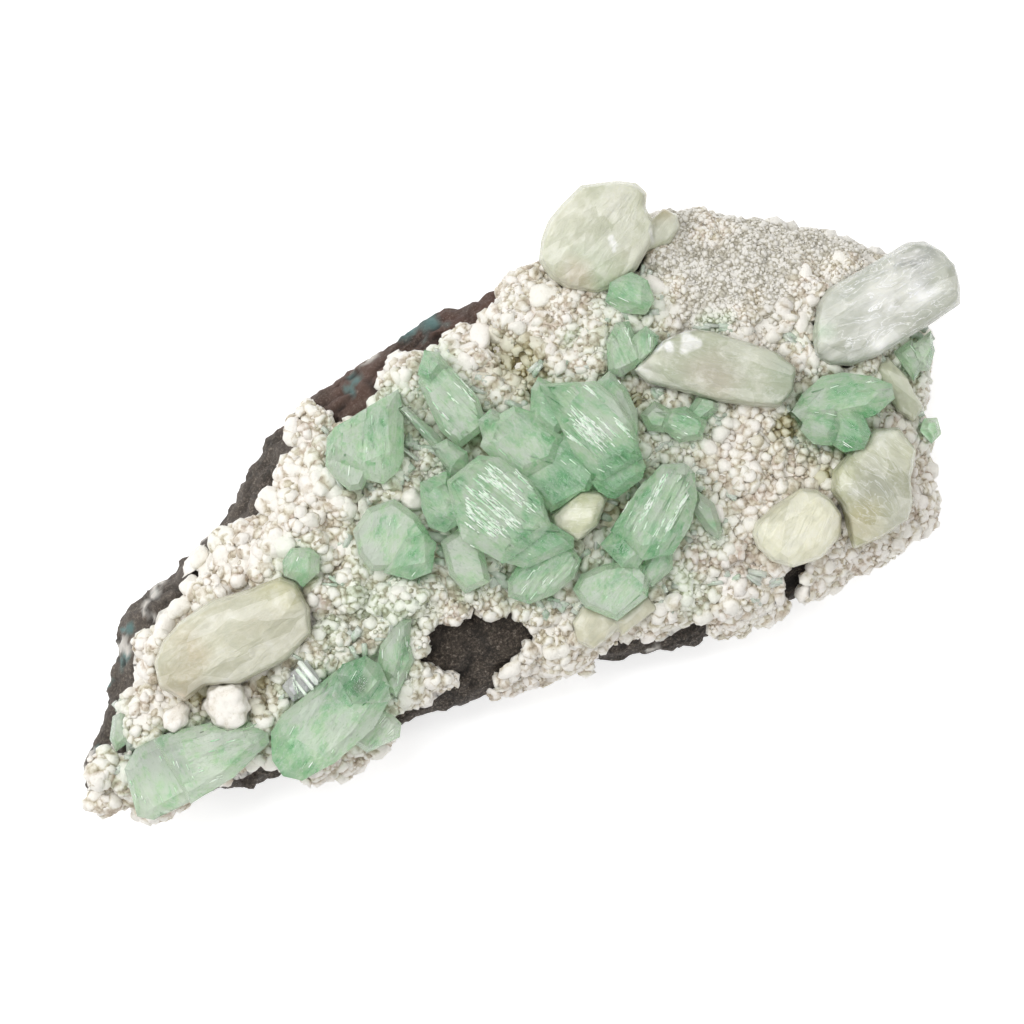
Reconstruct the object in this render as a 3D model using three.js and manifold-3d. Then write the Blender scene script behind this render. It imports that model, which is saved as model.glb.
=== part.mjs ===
// Apophyllite on heulandite, a hand specimen lying on its back. Millimetres, +Z up, X along its length.
// A slab of basalt carries one crust of small heulandite balls, and green apophyllite prisms and
// cream stilbite sheaves stand in that crust. The origin is under the middle of the specimen.
import * as THREE from "three";
import { ConvexGeometry } from "three/addons/geometries/ConvexGeometry.js";
import { mergeVertices } from "three/addons/utils/BufferGeometryUtils.js";
import Module from "manifold-3d";

const wasm = await Module();
wasm.setup();

// ---------------------------------------------------------------- driving dimensions
const GAP = 0.3; // air between pieces that touch
const BASE_TO_WIDEST = 12; // height of the basalt's widest level above the face it rests on
const BASALT_HEIGHT = 24.5; // height of the basalt under the crust
const CRUST_THICKNESS = 5.5; // heulandite over the middle of the basalt
const CRUST_HEIGHT = BASALT_HEIGHT + CRUST_THICKNESS;
const CRUST_HEM = 6.5; // height at which the crust ends on the sides that it wraps
const ROCK_GRAIN = 0.9; // how far the broken basalt leaves its smooth form
const ROCK_LUMP = 7; // size of the basalt's unevenness
const CRUST_SWELL = 0.8; // how far the crust's sides leave their smooth form
const HEM_WAVE = 1.6; // how far the crust's lower rim rises and falls
const LUMP_SPACING = 13; // between the larger lumps of the crust
const LUMP_HEIGHT = [1.6, 3.4]; // of a lump over the dips round it
const FIELD = { halfLength: 104, halfWidth: 51, floor: -5 };
const BREAK_FLARE = 0.6; // how much wider a break in the crust is at the underside
const BED = 1.6; // how deep a crystal's flat foot is let into the crust
const SKY = 60; // above everything
const PYRAMID_INSET = 1.1; // of an apophyllite's upper face from its prism faces
const PYRAMID_DROP = 1.9; // from that upper face to the top of the prism faces
const ROOT_INSET = 0.4; // of a crystal's foot from its plan
const MITRE_LIMIT = 1.4; // so that sharp corners of a moved plan don't run away
const SHEAF_SWELL = { height: 0.35, size: 5 }; // unevenness of a stilbite's face
const PATTERN = { side: 7, face: 31, rim: 3 }; // keeps one surface's unevenness unlike the next one's
const CENTRE = new THREE.Vector3(0, 0, 0); // middle of the plan, from which outlines are scaled

const FINISH = {
  basalt: { color: 0x3d3531, roughness: 0.9 },
  heulandite: { color: 0xe6ded6, roughness: 0.55 },
  apophyllite: { color: 0x9fc9a8, roughness: 0.12 },
  stilbite: { color: 0xd8d3b6, roughness: 0.3 },
};

// ---------------------------------------------------------------- outlines in plan
// The specimen's edge, counter-clockwise from its broad end. The third number is how far the basalt
// stays inside it, so it is 0 where the basalt is bare and a crust thickness where the crust wraps it.
const EDGE = [
  [92.5, -3, 4], [90, 5, 3.5], [82, 15, 3], [75, 22, 3], [65, 28.5, 3], [63, 32, 3], [57, 34.8, 3],
  [40, 38.5, 2], [28, 38.6, 0.3], [17, 38.3, 0], [8, 40.7, 0], [-5, 39.3, 0], [-25, 38.6, 0],
  [-33, 35, 0], [-48, 26.5, 0], [-60, 23, 0], [-64, 21, 0], [-70, 21.3, 0], [-76, 19.5, 0],
  [-80, 14.5, 0], [-88, 5, 0], [-97, -2, 0], [-99.6, -6, 0.5], [-98, -10.5, 2.5], [-90, -17.5, 3],
  [-77, -20.5, 0.2], [-71, -23.5, 0], [-66, -24.2, 0.2], [-60, -27, 2.5], [-52, -29.2, 3.5],
  [-45, -29.6, 2.5], [-35, -27.5, 0], [-25, -29.8, 0], [-10, -33.3, 3], [0, -36.7, 1.2],
  [10, -39.7, 0.3], [20, -42.8, 0.6], [30, -45.3, 4], [40, -46, 1.2], [50, -46.2, 3], [60, -46, 4],
  [70, -45.3, 4], [74.5, -42, 4], [78, -33.5, 4], [83.5, -22, 4], [90, -13, 4],
];

// Where the crust is missing and the basalt shows: the long upper edge, then breaks along the lower one,
// which are wider towards the underside.
const BARE = [
  [
    [-110, -7], [-99, -7], [-95, -5.2], [-92, -3.5], [-88.5, -0.8], [-85, 3.5], [-80, 5.5], [-78, 9],
    [-76, 12], [-73, 14], [-70, 14], [-68, 16.5], [-63, 17], [-61, 20], [-58, 23.4], [-54, 24],
    [-47, 22], [-44, 21.8], [-40, 24], [-37, 25.3], [-33, 28.5], [-30, 29.5], [-28, 33], [-25, 36],
    [-22.5, 38.8], [-20.8, 38], [-21, 31], [-20, 30.2], [-10, 30], [-8, 32], [-7, 35], [-5, 38.3],
    [-3, 38.5], [1, 36], [2.5, 34], [5, 33.2], [6.5, 35], [7, 38.3], [9, 38.3], [10.5, 36],
    [12, 34.7], [16, 34], [20, 35.2], [22, 37.8], [30, 38.6], [34, 60], [-110, 60],
  ],
  [[-79, -18], [-79, -30], [-64, -30], [-64, -23.4], [-67, -22], [-71, -20.6], [-75, -19.8]],
  [
    [-41, -35], [-20.5, -35], [-20.5, -28.5], [-17, -27.4], [-13, -27], [-9, -25.5], [-7.3, -25],
    [-6.8, -22], [-7.2, -20], [-8, -18], [-6.5, -15.5], [-8, -15.8], [-10, -17.5], [-12, -16.8],
    [-13, -15], [-14, -13], [-16, -14], [-19, -14], [-20.5, -12], [-23.5, -12.8], [-26, -15],
    [-28.5, -17], [-28, -18.5], [-29, -20], [-26, -21.5], [-24.5, -23.8], [-26, -24.6],
    [-29.5, -25.6], [-31, -23.5], [-34, -22.5], [-36, -23.5], [-37.5, -25.5], [-38, -27.3],
  ],
  [
    [0.5, -50], [23.5, -50], [22.4, -40], [21.5, -38.5], [19, -38], [14, -38.6], [12.5, -37],
    [11, -35.5], [7, -34.5], [3, -34.3],
  ],
  [[39, -52], [41, -50], [42.5, -44], [45, -41], [48, -39], [42, -37.8], [39.7, -40]],
];

// Rings from the underside up: share of the plan, height.
const BASALT_RINGS = [
  [0.82, 0], [0.94, 5], [1, BASE_TO_WIDEST], [0.975, 17], [0.88, 21.6], [0.6, BASALT_HEIGHT],
];
const CRUST_SIDES = [[0.88, CRUST_HEM], [0.985, CRUST_HEM + 2], [1, 14], [0.9, 38]];
const CRUST_TOP = [
  [1, 17.5], [0.94, 20.8], [0.87, 25.2], [0.7, 28.4], [0.4, CRUST_HEIGHT],
];

// A stilbite's rings from its foot up: share of its plan, share of its height.
const DOME = [[0.84, 0], [1, 0.34], [0.985, 0.62], [0.87, 0.88], [0.56, 1]];

// ---------------------------------------------------------------- small tools
// A repeatable stream of numbers from 0 to 1.
function stream(seed) {
  let state = seed;
  return () => {
    state = (state + 0x6d2b79f5) | 0;
    let mixed = Math.imul(state ^ (state >>> 15), 1 | state);
    mixed = (mixed + Math.imul(mixed ^ (mixed >>> 7), 61 | mixed)) ^ mixed;
    return ((mixed ^ (mixed >>> 14)) >>> 0) / 4294967296;
  };
}

function hash(x, y, z) {
  const wave = Math.sin(x * 127.1 + y * 311.7 + z * 74.7) * 43758.5453;
  return 2 * (wave - Math.floor(wave)) - 1;
}

// Smooth noise from -1 to 1 with lumps one unit apart.
function noise(x, y, z) {
  const corner = [Math.floor(x), Math.floor(y), Math.floor(z)];
  const share = [x - corner[0], y - corner[1], z - corner[2]].map((t) => t * t * (3 - 2 * t));
  let sum = 0;
  for (let i = 0; i < 8; i++) {
    const step = [i & 1, (i >> 1) & 1, (i >> 2) & 1];
    const weight = step.reduce((w, on, axis) => w * (on ? share[axis] : 1 - share[axis]), 1);
    sum += weight * hash(corner[0] + step[0], corner[1] + step[1], corner[2] + step[2]);
  }
  return sum;
}

// A closed three.js geometry as a solid that can be joined and cut.
function solid(geometry) {
  const bare = new THREE.BufferGeometry();
  const loose = geometry.index ? geometry.toNonIndexed() : geometry;
  bare.setAttribute("position", loose.getAttribute("position"));
  const merged = mergeVertices(bare, 1e-3);
  return new wasm.Manifold(
    new wasm.Mesh({
      numProp: 3,
      vertProperties: merged.getAttribute("position").array,
      triVerts: new Uint32Array(merged.index.array),
    }),
  );
}

function joined(solids) {
  return solids.reduce((all, one) => all.add(one));
}

// The largest body of a cut solid: crumbs that a cut leaves behind are dropped.
function largest(cut) {
  return cut.decompose().reduce((best, one) => (one.volume() > best.volume() ? one : best));
}

// A skin over rings of points, each ring counter-clockwise seen from the last one, closed at both ends.
function loft(rings) {
  const count = rings[0].length;
  const mean = (ring) => ring.reduce((sum, p) => sum.add(p), new THREE.Vector3()).divideScalar(count);
  const points = [...rings.flat(), mean(rings[0]), mean(rings.at(-1))];
  const foot = points.length - 2;
  const head = points.length - 1;
  const top = (rings.length - 1) * count;
  const faces = [];
  for (let i = 0; i < count; i++) {
    const next = (i + 1) % count;
    faces.push(foot, next, i, head, top + i, top + next);
    for (let level = 0; level < top; level += count) {
      faces.push(level + i, level + next, level + count + next);
      faces.push(level + i, level + count + next, level + count + i);
    }
  }
  const geometry = new THREE.BufferGeometry().setFromPoints(points);
  geometry.setIndex(faces);
  return geometry;
}

// ---------------------------------------------------------------- basalt and crust
function edgePoint([x, y, inset], wrapped) {
  const spine = new THREE.Vector3(THREE.MathUtils.clamp(x, -70, 60), -2, 0);
  const point = new THREE.Vector3(x, y, 0);
  const inward = spine.sub(point).normalize();
  return point.addScaledVector(inward, wrapped ? 0 : inset);
}

// One body from rings of the edge. The lowest ring is level, but for the wave of the crust's rim.
function slab(rings, { wrapped, rough, grain, wave = 0, grow = 0 }) {
  const made = rings.map(([share, height], level) =>
    EDGE.map((entry) => {
      const point = edgePoint(entry, wrapped).multiplyScalar(share);
      const swell = rough * noise(point.x / grain, point.y / grain, height / grain + PATTERN.side);
      const outward = point.clone().sub(CENTRE).normalize();
      point.addScaledVector(outward, (level ? swell : 0) + grow);
      const rise =
        level > 2 ? rough * noise(point.x / grain + PATTERN.face, point.y / grain, level) : 0;
      const dip = level < 2 ? wave * noise(point.x / grain, point.y / grain, PATTERN.rim) : 0;
      point.z = height + rise + dip + (level ? grow : -grow);
      return point;
    }),
  );
  return solid(loft(made));
}

function basalt(grow) {
  return slab(BASALT_RINGS, { wrapped: false, rough: ROCK_GRAIN, grain: ROCK_LUMP, grow });
}

// Height of the crust's smooth form over a point of the plan.
function crustHeight(x, y) {
  const bearing = Math.atan2(y, x);
  let reach = 1;
  for (let i = 0; i < EDGE.length; i++) {
    const [ax, ay] = EDGE[i];
    const [bx, by] = EDGE[(i + 1) % EDGE.length];
    const across = Math.cos(bearing) * (by - ay) - Math.sin(bearing) * (bx - ax);
    const along = (ax * (by - ay) - ay * (bx - ax)) / across;
    const t = (Math.cos(bearing) * along - ax) * (bx - ax) + (Math.sin(bearing) * along - ay) * (by - ay);
    const span = (bx - ax) ** 2 + (by - ay) ** 2;
    if (along > 0 && t >= 0 && t <= span) reach = along;
  }
  const share = Math.hypot(x, y) / reach;
  for (let i = 0; i + 1 < CRUST_TOP.length; i++) {
    const [outer, low] = CRUST_TOP[i];
    const [inner, high] = CRUST_TOP[i + 1];
    if (share > inner) return low + ((outer - share) / (outer - inner)) * (high - low);
  }
  return CRUST_HEIGHT;
}

// The crust's upper face as a solid block that reaches down past the specimen. Its points stand on a
// three-way grid: every third one is the top of a lump, and the six round it are dips. Lumps are bold
// at the narrow end and low on the fine-grained slope at the broad end.
function lumpyBlock() {
  const random = stream(5);
  const step = LUMP_SPACING / Math.sqrt(3);
  const rise = LUMP_SPACING / 2;
  const rows = Math.round((2 * FIELD.halfWidth) / rise);
  const columns = Math.round((2 * FIELD.halfLength) / step);
  const upper = [];
  for (let row = 0; row <= rows; row++) {
    for (let column = 0; column <= columns; column++) {
      const x = -FIELD.halfLength + (column + (row % 2) / 2) * step + 0.4 * step * (random() - 0.5);
      const y = -FIELD.halfWidth + row * rise + 0.4 * rise * (random() - 0.5);
      const relief = THREE.MathUtils.mapLinear(x, -90, 80, 1.1, 0.5);
      const peak = (column - Math.floor(row / 2) - row + 3 * rows) % 3 === 0;
      const lift = peak ? THREE.MathUtils.lerp(...LUMP_HEIGHT, random()) - 1 : -1;
      upper.push(new THREE.Vector3(x, y, crustHeight(x, y) + relief * lift));
    }
  }
  const count = upper.length;
  const points = [...upper, ...upper.map(({ x, y }) => new THREE.Vector3(x, y, FIELD.floor))];
  const faces = [];
  const at = (row, column) => row * (columns + 1) + column;
  for (let row = 0; row < rows; row++) {
    for (let column = 0; column < columns; column++) {
      const [a, b] = [at(row, column), at(row, column + 1)];
      const [c, d] = [at(row + 1, column), at(row + 1, column + 1)];
      const halves = row % 2 ? [[a, d, c], [a, b, d]] : [[a, b, c], [b, d, c]];
      for (const [p, q, r] of halves) faces.push(p, q, r, p + count, r + count, q + count);
    }
  }
  const wall = (from, to) => faces.push(from + count, to + count, to, from + count, to, from);
  for (let column = 0; column < columns; column++) {
    wall(at(0, column), at(0, column + 1));
    wall(at(rows, column + 1), at(rows, column));
  }
  for (let row = 0; row < rows; row++) {
    wall(at(row, columns), at(row + 1, columns));
    wall(at(row + 1, 0), at(row, 0));
  }
  const geometry = new THREE.BufferGeometry().setFromPoints(points);
  geometry.setIndex(faces);
  return solid(geometry);
}

function upright(polygon, low, high) {
  const shape = new THREE.Shape(polygon.map(([x, y]) => new THREE.Vector2(x, y)));
  const prism = new THREE.ExtrudeGeometry(shape, { depth: high - low, bevelEnabled: false });
  return solid(prism.translate(0, 0, low));
}

// The room over a bare patch. Its plan holds at the crust's height and is wider below by flare.
function bareRoom(polygon, flare) {
  const shape = new THREE.Shape(polygon.map(([x, y]) => new THREE.Vector2(x, y)));
  const room = new THREE.ExtrudeGeometry(shape, { depth: SKY, bevelEnabled: false });
  const [middleX, middleY] = middle(polygon);
  const corners = room.getAttribute("position");
  for (let i = 0; i < corners.count; i++) {
    const scale = 1 + flare * (1 - corners.getZ(i) / CRUST_HEIGHT);
    corners.setX(i, middleX + scale * (corners.getX(i) - middleX));
    corners.setY(i, middleY + scale * (corners.getY(i) - middleY));
  }
  return solid(room);
}

// ---------------------------------------------------------------- crystals
// A plan moved outwards by a distance, or inwards by a negative one, its corners mitred.
function moved(plan, distance) {
  const turns = plan.reduce((sum, [x, y], i) => {
    const [nextX, nextY] = plan[(i + 1) % plan.length];
    return sum + x * nextY - y * nextX;
  }, 0);
  const side = Math.sign(turns);
  const outward = plan.map(([x, y], i) => {
    const [nextX, nextY] = plan[(i + 1) % plan.length];
    return new THREE.Vector2(nextY - y, x - nextX).normalize().multiplyScalar(side);
  });
  return plan.map(([x, y], i) => {
    const before = outward[(i + plan.length - 1) % plan.length];
    const mitre = before.clone().add(outward[i]);
    const reach = Math.min(2 / mitre.lengthSq(), MITRE_LIMIT);
    return [x + mitre.x * reach * distance, y + mitre.y * reach * distance];
  });
}

function middle(plan) {
  const sum = plan.reduce(([sx, sy], [x, y]) => [sx + x, sy + y], [0, 0]);
  return sum.map((value) => value / plan.length);
}

// Level at which a crystal is cut off, let into the crust under the middle of its plan.
function footOf({ plan, lift = 0 }) {
  return crustHeight(...middle(plan)) - BED + lift;
}

// Apophyllite: the plan of the crystal with upright prism faces, and pyramid faces that lean in to its
// upper face. high is that face above the crust, lean its slope along X and Y, and crest its own
// outline where the pyramid faces are broad.
function apophyllite(spec, grow = 0) {
  const { plan, high, crest = moved(plan, -PYRAMID_INSET), lean = [0, 0] } = spec;
  const [middleX, middleY] = middle(plan);
  const top = crustHeight(middleX, middleY) + high + grow;
  const heightAt = ([x, y]) => top + lean[0] * (x - middleX) + lean[1] * (y - middleY);
  const wide = moved(plan, grow);
  const corners = [
    ...moved(crest, grow).map((p) => new THREE.Vector3(...p, heightAt(p))),
    ...wide.map((p) => new THREE.Vector3(...p, heightAt(p) - PYRAMID_DROP)),
    ...moved(wide, -ROOT_INSET).map((p) => new THREE.Vector3(...p, footOf(spec) - grow)),
  ];
  return solid(new ConvexGeometry(corners));
}

// Stilbite: a domed sheaf whose plan shrinks towards its spine as it rises.
function stilbite(spec, grow = 0) {
  const { plan, high, spine = [middle(plan), middle(plan)] } = spec;
  const [from, to] = spine.map(([x, y]) => new THREE.Vector3(x, y, 0));
  const axis = new THREE.Line3(from, to);
  const foot = footOf(spec);
  const rise = crustHeight(...middle(plan)) + high - foot;
  const rings = DOME.map(([share, level]) =>
    moved(plan, grow).map(([x, y]) => {
      const point = new THREE.Vector3(x, y, 0);
      const near = from.equals(to) ? from : axis.closestPointToPoint(point, true, new THREE.Vector3());
      point.sub(near).multiplyScalar(share).add(near);
      const { height, size } = SHEAF_SWELL;
      const swell = level > 0.3 ? height * noise(point.x / size, point.y / size, level) : 0;
      return point.setZ(foot + level * rise + swell + (level ? grow : -grow));
    }),
  );
  return solid(loft(counterClockwise(rings)));
}

// The same rings, each turned counter-clockwise.
function counterClockwise(rings) {
  const [a, b, c] = [0, 1 / 3, 2 / 3].map((share) => rings[0][Math.floor(share * rings[0].length)]);
  const turn = (b.x - a.x) * (c.y - a.y) - (b.y - a.y) * (c.x - a.x);
  return turn > 0 ? rings : rings.map((ring) => [...ring].reverse());
}

// ---------------------------------------------------------------- the crystals of the specimen
// Each row of a piece is one crystal of it. Crystals that grew into each other are one piece.
const APOPHYLLITE = {
  // The big striated prism, its green ends, and what grew against its left side.
  apophyllite_center: [
    {
      plan: [[-6.2, 9.8], [1.5, 11], [5, 8.5], [7.8, 2], [8, -2], [6.6, -8.2], [-4.8, -9.2],
        [-9.2, -1.5], [-8.4, 3]],
      crest: [[-5.6, 9], [1.2, 10], [7.2, 1.8], [7.3, -2], [6, -6.6], [-3, -7], [-6.2, 0]],
      high: 13, lean: [-0.04, 0.02],
    },
    {
      plan: [[-5, -8.6], [2, -6.6], [6.8, -6.4], [9.4, -11.5], [8.4, -13.2], [-1.5, -12.2]],
      crest: [[-2, -9], [6, -7.6], [7.8, -11.4], [0, -11]],
      high: 10, lean: [0, 0.1],
    },
    {
      plan: [[-13.6, 4], [-13, 8], [-10.8, 12.2], [-5, 11.6], [-5.6, 4], [-8, 1.4], [-11.5, 1.4]],
      crest: [[-11.6, 5], [-10.4, 10], [-6.6, 9.6], [-7.6, 3.4]],
      high: 9, lean: [0.06, -0.04],
    },
    {
      plan: [[-13.2, 0.4], [-8, 1], [-6.8, -5], [-8.6, -11], [-14, -10.6], [-14.8, -6]],
      high: 5.6,
      lean: [0.1, 0],
    },
    // The smooth pale prism, the dark one under it and the second striated prism with its green end.
    {
      plan: [[2.5, 12.4], [6, 15.6], [12, 16], [14.8, 12.6], [17.2, 6], [13.4, 2.6], [5, 3]],
      crest: [[5, 12], [7.4, 14.2], [11.6, 14.4], [15.4, 6.4], [13, 4.4], [8, 5]],
      high: 10.6, lean: [-0.06, 0.05],
    },
    {
      plan: [[6, 4], [13, 5], [18, 7], [20.4, 3], [20, -3], [16, -5.6], [8, -5.2]],
      high: 8.4,
      lean: [0.05, 0.02],
    },
    {
      plan: [[18.2, 17], [21.4, 15.4], [27.6, 12.2], [29.6, 8], [30, 2.4], [28.2, -5], [19, -5], [17.2, 2]],
      crest: [[19.4, 15.6], [21.6, 14.2], [27, 11.2], [28.8, 7.6], [29.2, 2.4], [27.4, -3.6],
        [20.4, -1], [19.6, 8]],
      high: 12.4, lean: [0.02, 0.04],
    },
    {
      plan: [[17.4, -4], [22, -3], [28.4, -4], [28, -6.8], [26.4, -8.4], [20, -9.2], [18, -7.8]],
      crest: [[19.4, -4.6], [26.6, -4.8], [25.4, -7], [20.6, -7.6]],
      high: 9.2, lean: [0.03, 0.08],
    },
    {
      plan: [[27, 11.8], [31.2, 12.6], [32.4, 8], [31.8, 3], [28.4, -3.6], [27, 2]],
      high: 8,
      lean: [-0.22, 0],
    },
    {
      plan: [[13.4, 12.2], [16.4, 17], [18.8, 18.4], [21.4, 14.6], [21.2, 8], [15.6, 7]],
      crest: [[15.4, 11.8], [17.6, 15.6], [20, 13], [19.6, 9.4], [16.6, 8.6]],
      high: 9.8, lean: [0.04, -0.05],
    },
    // The pale prism at the upper edge, its green tip, the blades beside it and the fan under it all.
    {
      plan: [[-2.6, 19], [-1.6, 29], [1, 31.4], [4.8, 30.6], [7, 21], [5.8, 15], [-1, 14]],
      high: 7,
      lean: [0, -0.1],
    },
    {
      plan: [[-1, 30.4], [2.6, 33.8], [4.8, 32], [5.2, 28.6], [0, 26.6]],
      crest: [[1, 29], [2.6, 31.6], [3.6, 30]],
      high: 9.4,
    },
    { plan: [[-7.2, 26.4], [-5.8, 26.2], [-3.6, 20], [-2.4, 14.6], [-5, 14.6], [-6.2, 20]], high: 6.8 },
    {
      plan: [[-5.6, 17], [-2.2, 16.8], [0, 12.6], [-1.4, 9.6], [-5.2, 10.4]],
      crest: [[-4.2, 15.4], [-2.6, 15.4], [-1.6, 12.6], [-4, 11.6]],
      high: 10.2, lean: [0, 0.1],
    },
    { plan: [[3.4, 12], [4.6, 16.8], [8, 17.6], [10, 14.6], [8.4, 11.4]], high: 10, lean: [0.05, 0.1] },
    {
      plan: [[-7.2, -15.2], [-5.8, -12.4], [-2, -10.6], [8, -11.6], [8.6, -16], [5.6, -18.4],
        [0.6, -19.2], [-4.4, -18.4]],
      high: 6.6, lean: [0.03, 0.1],
    },
  ],
  // The fan under the second striated prism, and the pale prism at its foot.
  apophyllite_fan: [
    {
      plan: [[16, -13.8], [22, -10.8], [26, -9], [31, -7.8], [34.8, -9.8], [35.6, -12.4], [33.4, -17],
        [29.6, -21], [24, -23.8], [18.6, -22]],
      crest: [[18.8, -14.4], [26, -10.8], [31, -9.8], [33.6, -11.8], [31.4, -16.6], [24, -21],
        [19.8, -19.4]],
      high: 9, lean: [0.02, -0.02],
    },
    {
      plan: [[13, -15.2], [17, -14], [20, -17], [19.4, -21.6], [17, -22.8], [14.4, -21]],
      crest: [[14.8, -16.4], [17.4, -17], [18, -20.2], [15.8, -20.4]],
      high: 7.8, lean: [0.05, 0],
    },
    {
      plan: [[4.2, -20.2], [7, -18.4], [12, -19], [18, -21.6], [18.6, -25], [16, -28.6], [8.6, -29.6],
        [4.6, -24.4]],
      high: 5.6,
      lean: [0.03, -0.04],
    },
    { plan: [[16, -24], [21, -21], [25, -22.6], [22.8, -26.4], [17.6, -27.4]], high: 5, lean: [0.02, 0.06] },
    {
      plan: [[32, -23], [31.6, -18], [34.4, -15.6], [36, -19.4], [34.8, -25], [33.2, -26]],
      high: 4.6,
      lean: [0, 0.08],
    },
  ],
  apophyllite_plate: [
    {
      plan: [[-22, 28.6], [-19.6, 29.6], [-5.4, 29.8], [-7, 25], [-11.2, 17.8], [-13, 16.2],
        [-17, 15.3], [-19.6, 18], [-24, 25]],
      crest: [[-21.4, 26.8], [-19, 27.8], [-9, 27.6], [-12.8, 20.2], [-19, 21]],
      high: 7.2, lean: [-0.02, 0.06],
    },
    {
      plan: [[-25, 24], [-22.4, 28], [-18, 27], [-17.6, 19], [-21, 16.6], [-23.4, 17.6], [-24.6, 21]],
      high: 6.2,
      lean: [0.08, 0.02],
    },
  ],
  apophyllite_mid_left: [
    {
      plan: [[-28, 6], [-26.6, 10.6], [-22, 13], [-16.6, 12], [-14.4, 7], [-14.2, 2], [-24, 0.4],
        [-27.4, 2.2]],
      high: 5.8,
      lean: [0.03, 0.02],
    },
    {
      plan: [[-25.6, 0.8], [-19, 4.6], [-14.8, 3.6], [-13.8, 0.6], [-17.4, -3.8], [-21.6, -3.2]],
      crest: [[-22.4, 0.4], [-18.6, 2.8], [-15.8, 1.8], [-17.6, -1.6]],
      high: 7.2, lean: [0.04, 0.04],
    },
  ],
  apophyllite_bud: [
    {
      plan: [[-42.6, 9.6], [-41.4, 12.4], [-38.6, 13.8], [-35.4, 12], [-34.4, 9.8], [-36.2, 7], [-40.4, 6]],
      crest: [[-40.8, 10], [-38.4, 12.2], [-36.4, 10.4], [-38, 8]],
      high: 4.8,
    },
  ],
  apophyllite_corner: [
    {
      plan: [[-88.2, -0.6], [-85.4, 3], [-83.2, 2.8], [-82.8, 0.6], [-85, -3], [-88.4, -3.4]],
      high: 3,
      lean: [-0.1, 0.1],
    },
  ],
  // The milky prism at the narrow end.
  apophyllite_front_left: [
    {
      plan: [[-88, -7], [-84, -4.6], [-78, -4.8], [-77, -12], [-78, -19], [-88, -18.4], [-90.4, -16.2],
        [-89, -11]],
      crest: [[-86.4, -8], [-83.6, -6.6], [-79, -7], [-79.4, -16.4], [-86.6, -16.2]],
      high: 6.6, lean: [0.04, 0],
    },
    {
      plan: [[-80, -5], [-76.6, -5.2], [-69, -7.4], [-61.6, -11.6], [-60, -14], [-61, -16.6],
        [-70, -19], [-80, -19.2]],
      crest: [[-79, -7], [-69.4, -9.4], [-64, -12.2], [-64, -15], [-71, -16.8], [-79, -17]],
      high: 5.6, lean: [-0.04, 0.03],
    },
  ],
  // The long prism in front, greener at both ends, and the pale blades that run off it.
  apophyllite_front: [
    {
      plan: [[-62, -19.6], [-59.6, -15], [-56, -13], [-42, -10.8], [-36, -12.4], [-35, -16],
        [-36.2, -20.6], [-42, -24.2], [-52, -26.2], [-59, -26], [-61.8, -23.4]],
      crest: [[-57.4, -15.4], [-50, -13.6], [-43, -12.8], [-39.4, -19.4], [-46, -22.6], [-54, -24],
        [-57.4, -21.6]],
      high: 7.6, lean: [0, 0.03],
    },
    {
      plan: [[-43, -11.6], [-41, -10.4], [-36.4, -11.2], [-34.8, -14], [-35.2, -18.6], [-38.4, -20.6],
        [-43, -18]],
      crest: [[-41, -13], [-37.4, -13], [-36.8, -16.6], [-39.8, -17.6]],
      high: 8.2, lean: [-0.04, 0.02],
    },
    {
      plan: [[-36.4, -15], [-33.2, -11], [-27.4, -8.6], [-25.4, -9.6], [-28, -13.4], [-34, -19]],
      high: 3.2,
      lean: [0, 0.05],
    },
    {
      plan: [[-37, -18], [-33, -15], [-28, -13.4], [-28.8, -16.8], [-35.6, -21.4]],
      high: 2.4,
      lean: [0, 0.04],
    },
    {
      plan: [[-47.4, -24.6], [-43.4, -23], [-38.4, -22], [-37.4, -26.2], [-39, -28.4], [-46, -27.8]],
      high: 3.4,
      lean: [0, 0.06],
    },
  ],
  apophyllite_clear: [
    { plan: [[-50.8, -7], [-46.8, -6.2], [-46.2, -12], [-50.4, -12.6]], high: 3.8, lean: [0.1, 0.06] },
    { plan: [[-53.6, -8.4], [-50.2, -7.2], [-49.8, -12.2], [-53.2, -12]], high: 2.6 },
  ],
  apophyllite_twin: [
    {
      plan: [[31, 12.6], [33.6, 17.8], [37, 20], [39.4, 19], [38.4, 11], [32.6, 10.4]],
      high: 5,
      lean: [0.06, -0.04],
    },
    {
      plan: [[36, 10.4], [37.6, 16], [41.6, 16.6], [42.8, 13.6], [40.4, 10.8]],
      high: 6.2,
      lean: [0.06, 0.06],
    },
  ],
  apophyllite_top: [
    {
      plan: [[37.2, 24.6], [39, 21], [42.8, 18.4], [45.6, 20], [46.4, 24], [44.6, 27], [40, 27.4]],
      crest: [[39.4, 24], [42.8, 20.6], [44.6, 23.4], [42.4, 25.6]],
      high: 5.8,
    },
  ],
  apophyllite_ledge: [
    {
      plan: [[34.4, -2], [36.4, 1], [40.6, -0.6], [42.8, -5], [40, -7.6], [36, -6]],
      high: 4.8,
      lean: [0.06, 0.04],
    },
    { plan: [[32.2, 2.4], [36, 3.4], [38, 0], [34.6, -3], [32, -1]], high: 3.4 },
    { plan: [[40, -1.6], [45, 0.6], [47, -2], [45.6, -4.4], [41, -5]], high: 4, lean: [0.08, 0] },
  ],
  apophyllite_right: [
    {
      plan: [[57.6, -11.6], [61, -9.6], [66, -8.6], [70, -10], [74.4, -13.4], [77, -16.6], [76, -19.4],
        [71, -20.4], [59, -16.6]],
      crest: [[60.4, -12.2], [66, -10.6], [70.8, -13.6], [73.8, -16.8], [70.6, -17.6], [62, -14.6]],
      high: 8, lean: [0.02, 0],
    },
    {
      plan: [[63.4, -15], [67, -15], [69.2, -19], [68.8, -22.8], [66, -24.8], [62.4, -23.4], [60.6, -20]],
      crest: [[65, -17.2], [67.2, -19], [66.6, -22.4], [63.8, -21.6]],
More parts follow.
